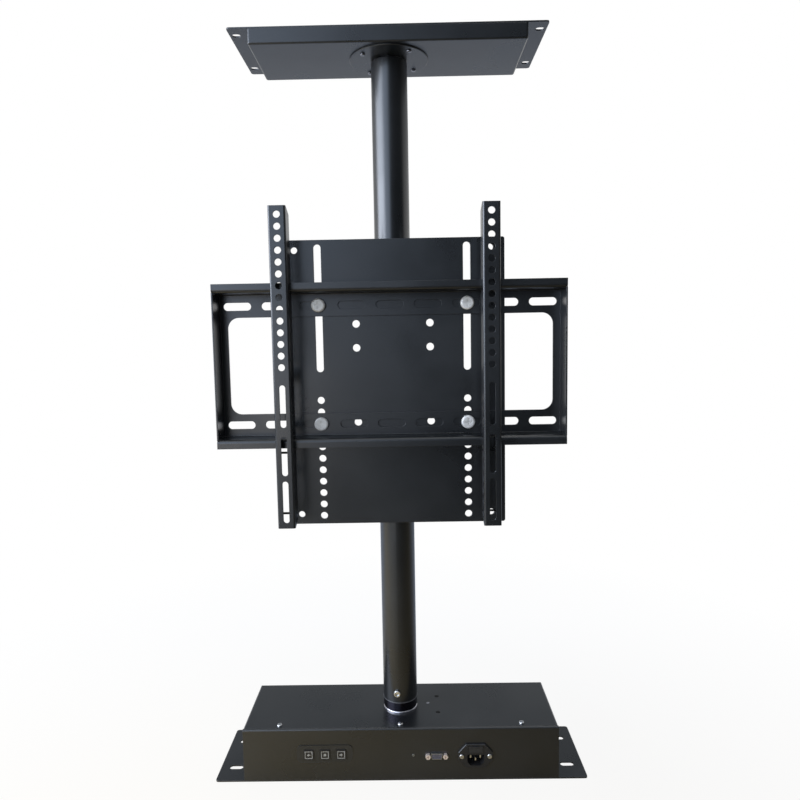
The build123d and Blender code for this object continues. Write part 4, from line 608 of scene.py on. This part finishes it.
GLOW_NEAR, GLOW_FAR = 0.92, 1.0
distance = paint.node("ShaderNodeVectorMath", {0: paint.coords}, operation="LENGTH").outputs["Value"]
far_out = paint.spread(distance, GLOW_NEAR, GLOW_FAR, 0.35, 1.0)
floor_rays = paint.node("ShaderNodeLightPath").outputs
looking = paint.node("ShaderNodeMath", {0: floor_rays["Is Camera Ray"], 1: floor_rays["Is Transmission Ray"]},
                     operation="MAXIMUM").outputs["Value"]
glow_share = paint.node("ShaderNodeMath", {0: looking, 1: far_out}, operation="MULTIPLY").outputs["Value"]
glow = paint.node("ShaderNodeEmission", Strength=1.0, Color=(*WHITE, 1.0)).outputs["Emission"]
floor_mix = paint.node("ShaderNodeMixShader", {0: glow_share, 1: paint.shader.outputs["BSDF"], 2: glow})
paint.tree.links.new(floor_mix.outputs["Shader"], paint.tree.nodes["Material Output"].inputs["Surface"])
floor = add_mesh("floor", floor_points, floor_faces, paint.material)

# %% [markdown]
# ## The lamps
# A large soft lamp on the left is the window: it helps draw the long pale line down the pole. One overhead
# lights the cover and the lips of the wall plate, and a warm one low in front lights the drive box's panel.
# An area lamp shines along its own minus Z, so its matrix needs the direction from its aim back to itself.

# %% Lamps
def softbox(name, place, aim, size, power, colour):
    """An area lamp of a width and a height at a place, turned to face a point; its width stays level."""
    lamp = bpy.data.lights.new(name, "AREA")
    lamp.shape = "RECTANGLE"
    lamp.size, lamp.size_y = size
    lamp.energy = power
    lamp.color = colour
    holder = bpy.data.objects.new(name, lamp)
    bpy.context.scene.collection.objects.link(holder)
    place, aim = np.array(place), np.array(aim)
    back = (place - aim) / np.linalg.norm(place - aim)
    sideways = np.cross((0.0, 0.0, 1.0), back)
    sideways /= np.linalg.norm(sideways)
    turn = np.eye(4)
    turn[:3, 0], turn[:3, 1], turn[:3, 2], turn[:3, 3] = sideways, np.cross(back, sideways), back, place
    holder.matrix_world = Matrix(turn.tolist())
    print(name, "gives", power, "W")


softbox("window", (-2.05, -0.75, 1.22), (0.0, 0.0, 0.70), (2.1, 1.15), 60.0, (0.82, 0.88, 1.0))
softbox("ceiling", (0.2, 0.5, 2.7), (0.0, 0.0, 0.4), (1.8, 1.8), 12.0, (1.0, 0.98, 0.95))
softbox("low_fill", (-0.9, -2.2, 0.30), (0.0, 0.0, 0.10), (0.9, 0.6), 2.5, (1.0, 0.88, 0.72))

# %% [markdown]
# ## The camera
# The camera was fitted to the photograph's straight edges: it stands a little right of the pole, 0.96 m in
# front of it and 0.63 m high, looks down by 5.2 degrees and leans by one degree. A camera's matrix has its
# right, up and backward directions as columns, so the three angles become three unit vectors. The lens follows
# from the focal length in pixels: its share of the image's width is its share of the sensor's.

# %% Camera
EYE = (0.01797, -0.95597, 0.63478)
YAW, PITCH, ROLL = (math.radians(a) for a in (-0.638, -5.186, -1.011))
FOCAL_PIXELS = 653.16
IMAGE_PIXELS = 800.0
SENSOR_MM = 36.0
NEAREST = 0.02
forward = np.array([math.sin(YAW) * math.cos(PITCH), math.cos(YAW) * math.cos(PITCH), math.sin(PITCH)])
level = np.array([math.cos(YAW), -math.sin(YAW), 0.0])
upward = np.cross(level, forward)
right = level * math.cos(ROLL) + upward * math.sin(ROLL)
up = upward * math.cos(ROLL) - level * math.sin(ROLL)
pose = np.eye(4)
pose[:3, 0], pose[:3, 1], pose[:3, 2], pose[:3, 3] = right, up, -forward, EYE
lens = bpy.data.cameras.new("photo_view")
lens.sensor_width = SENSOR_MM
lens.lens = FOCAL_PIXELS / IMAGE_PIXELS * SENSOR_MM
lens.clip_start = NEAREST
eye = bpy.data.objects.new("photo_view", lens)
bpy.context.scene.collection.objects.link(eye)
eye.matrix_world = Matrix(pose.tolist())
bpy.context.scene.camera = eye
bpy.context.scene.view_settings.view_transform = "Standard"
print("lens", round(lens.lens, 2), "mm")
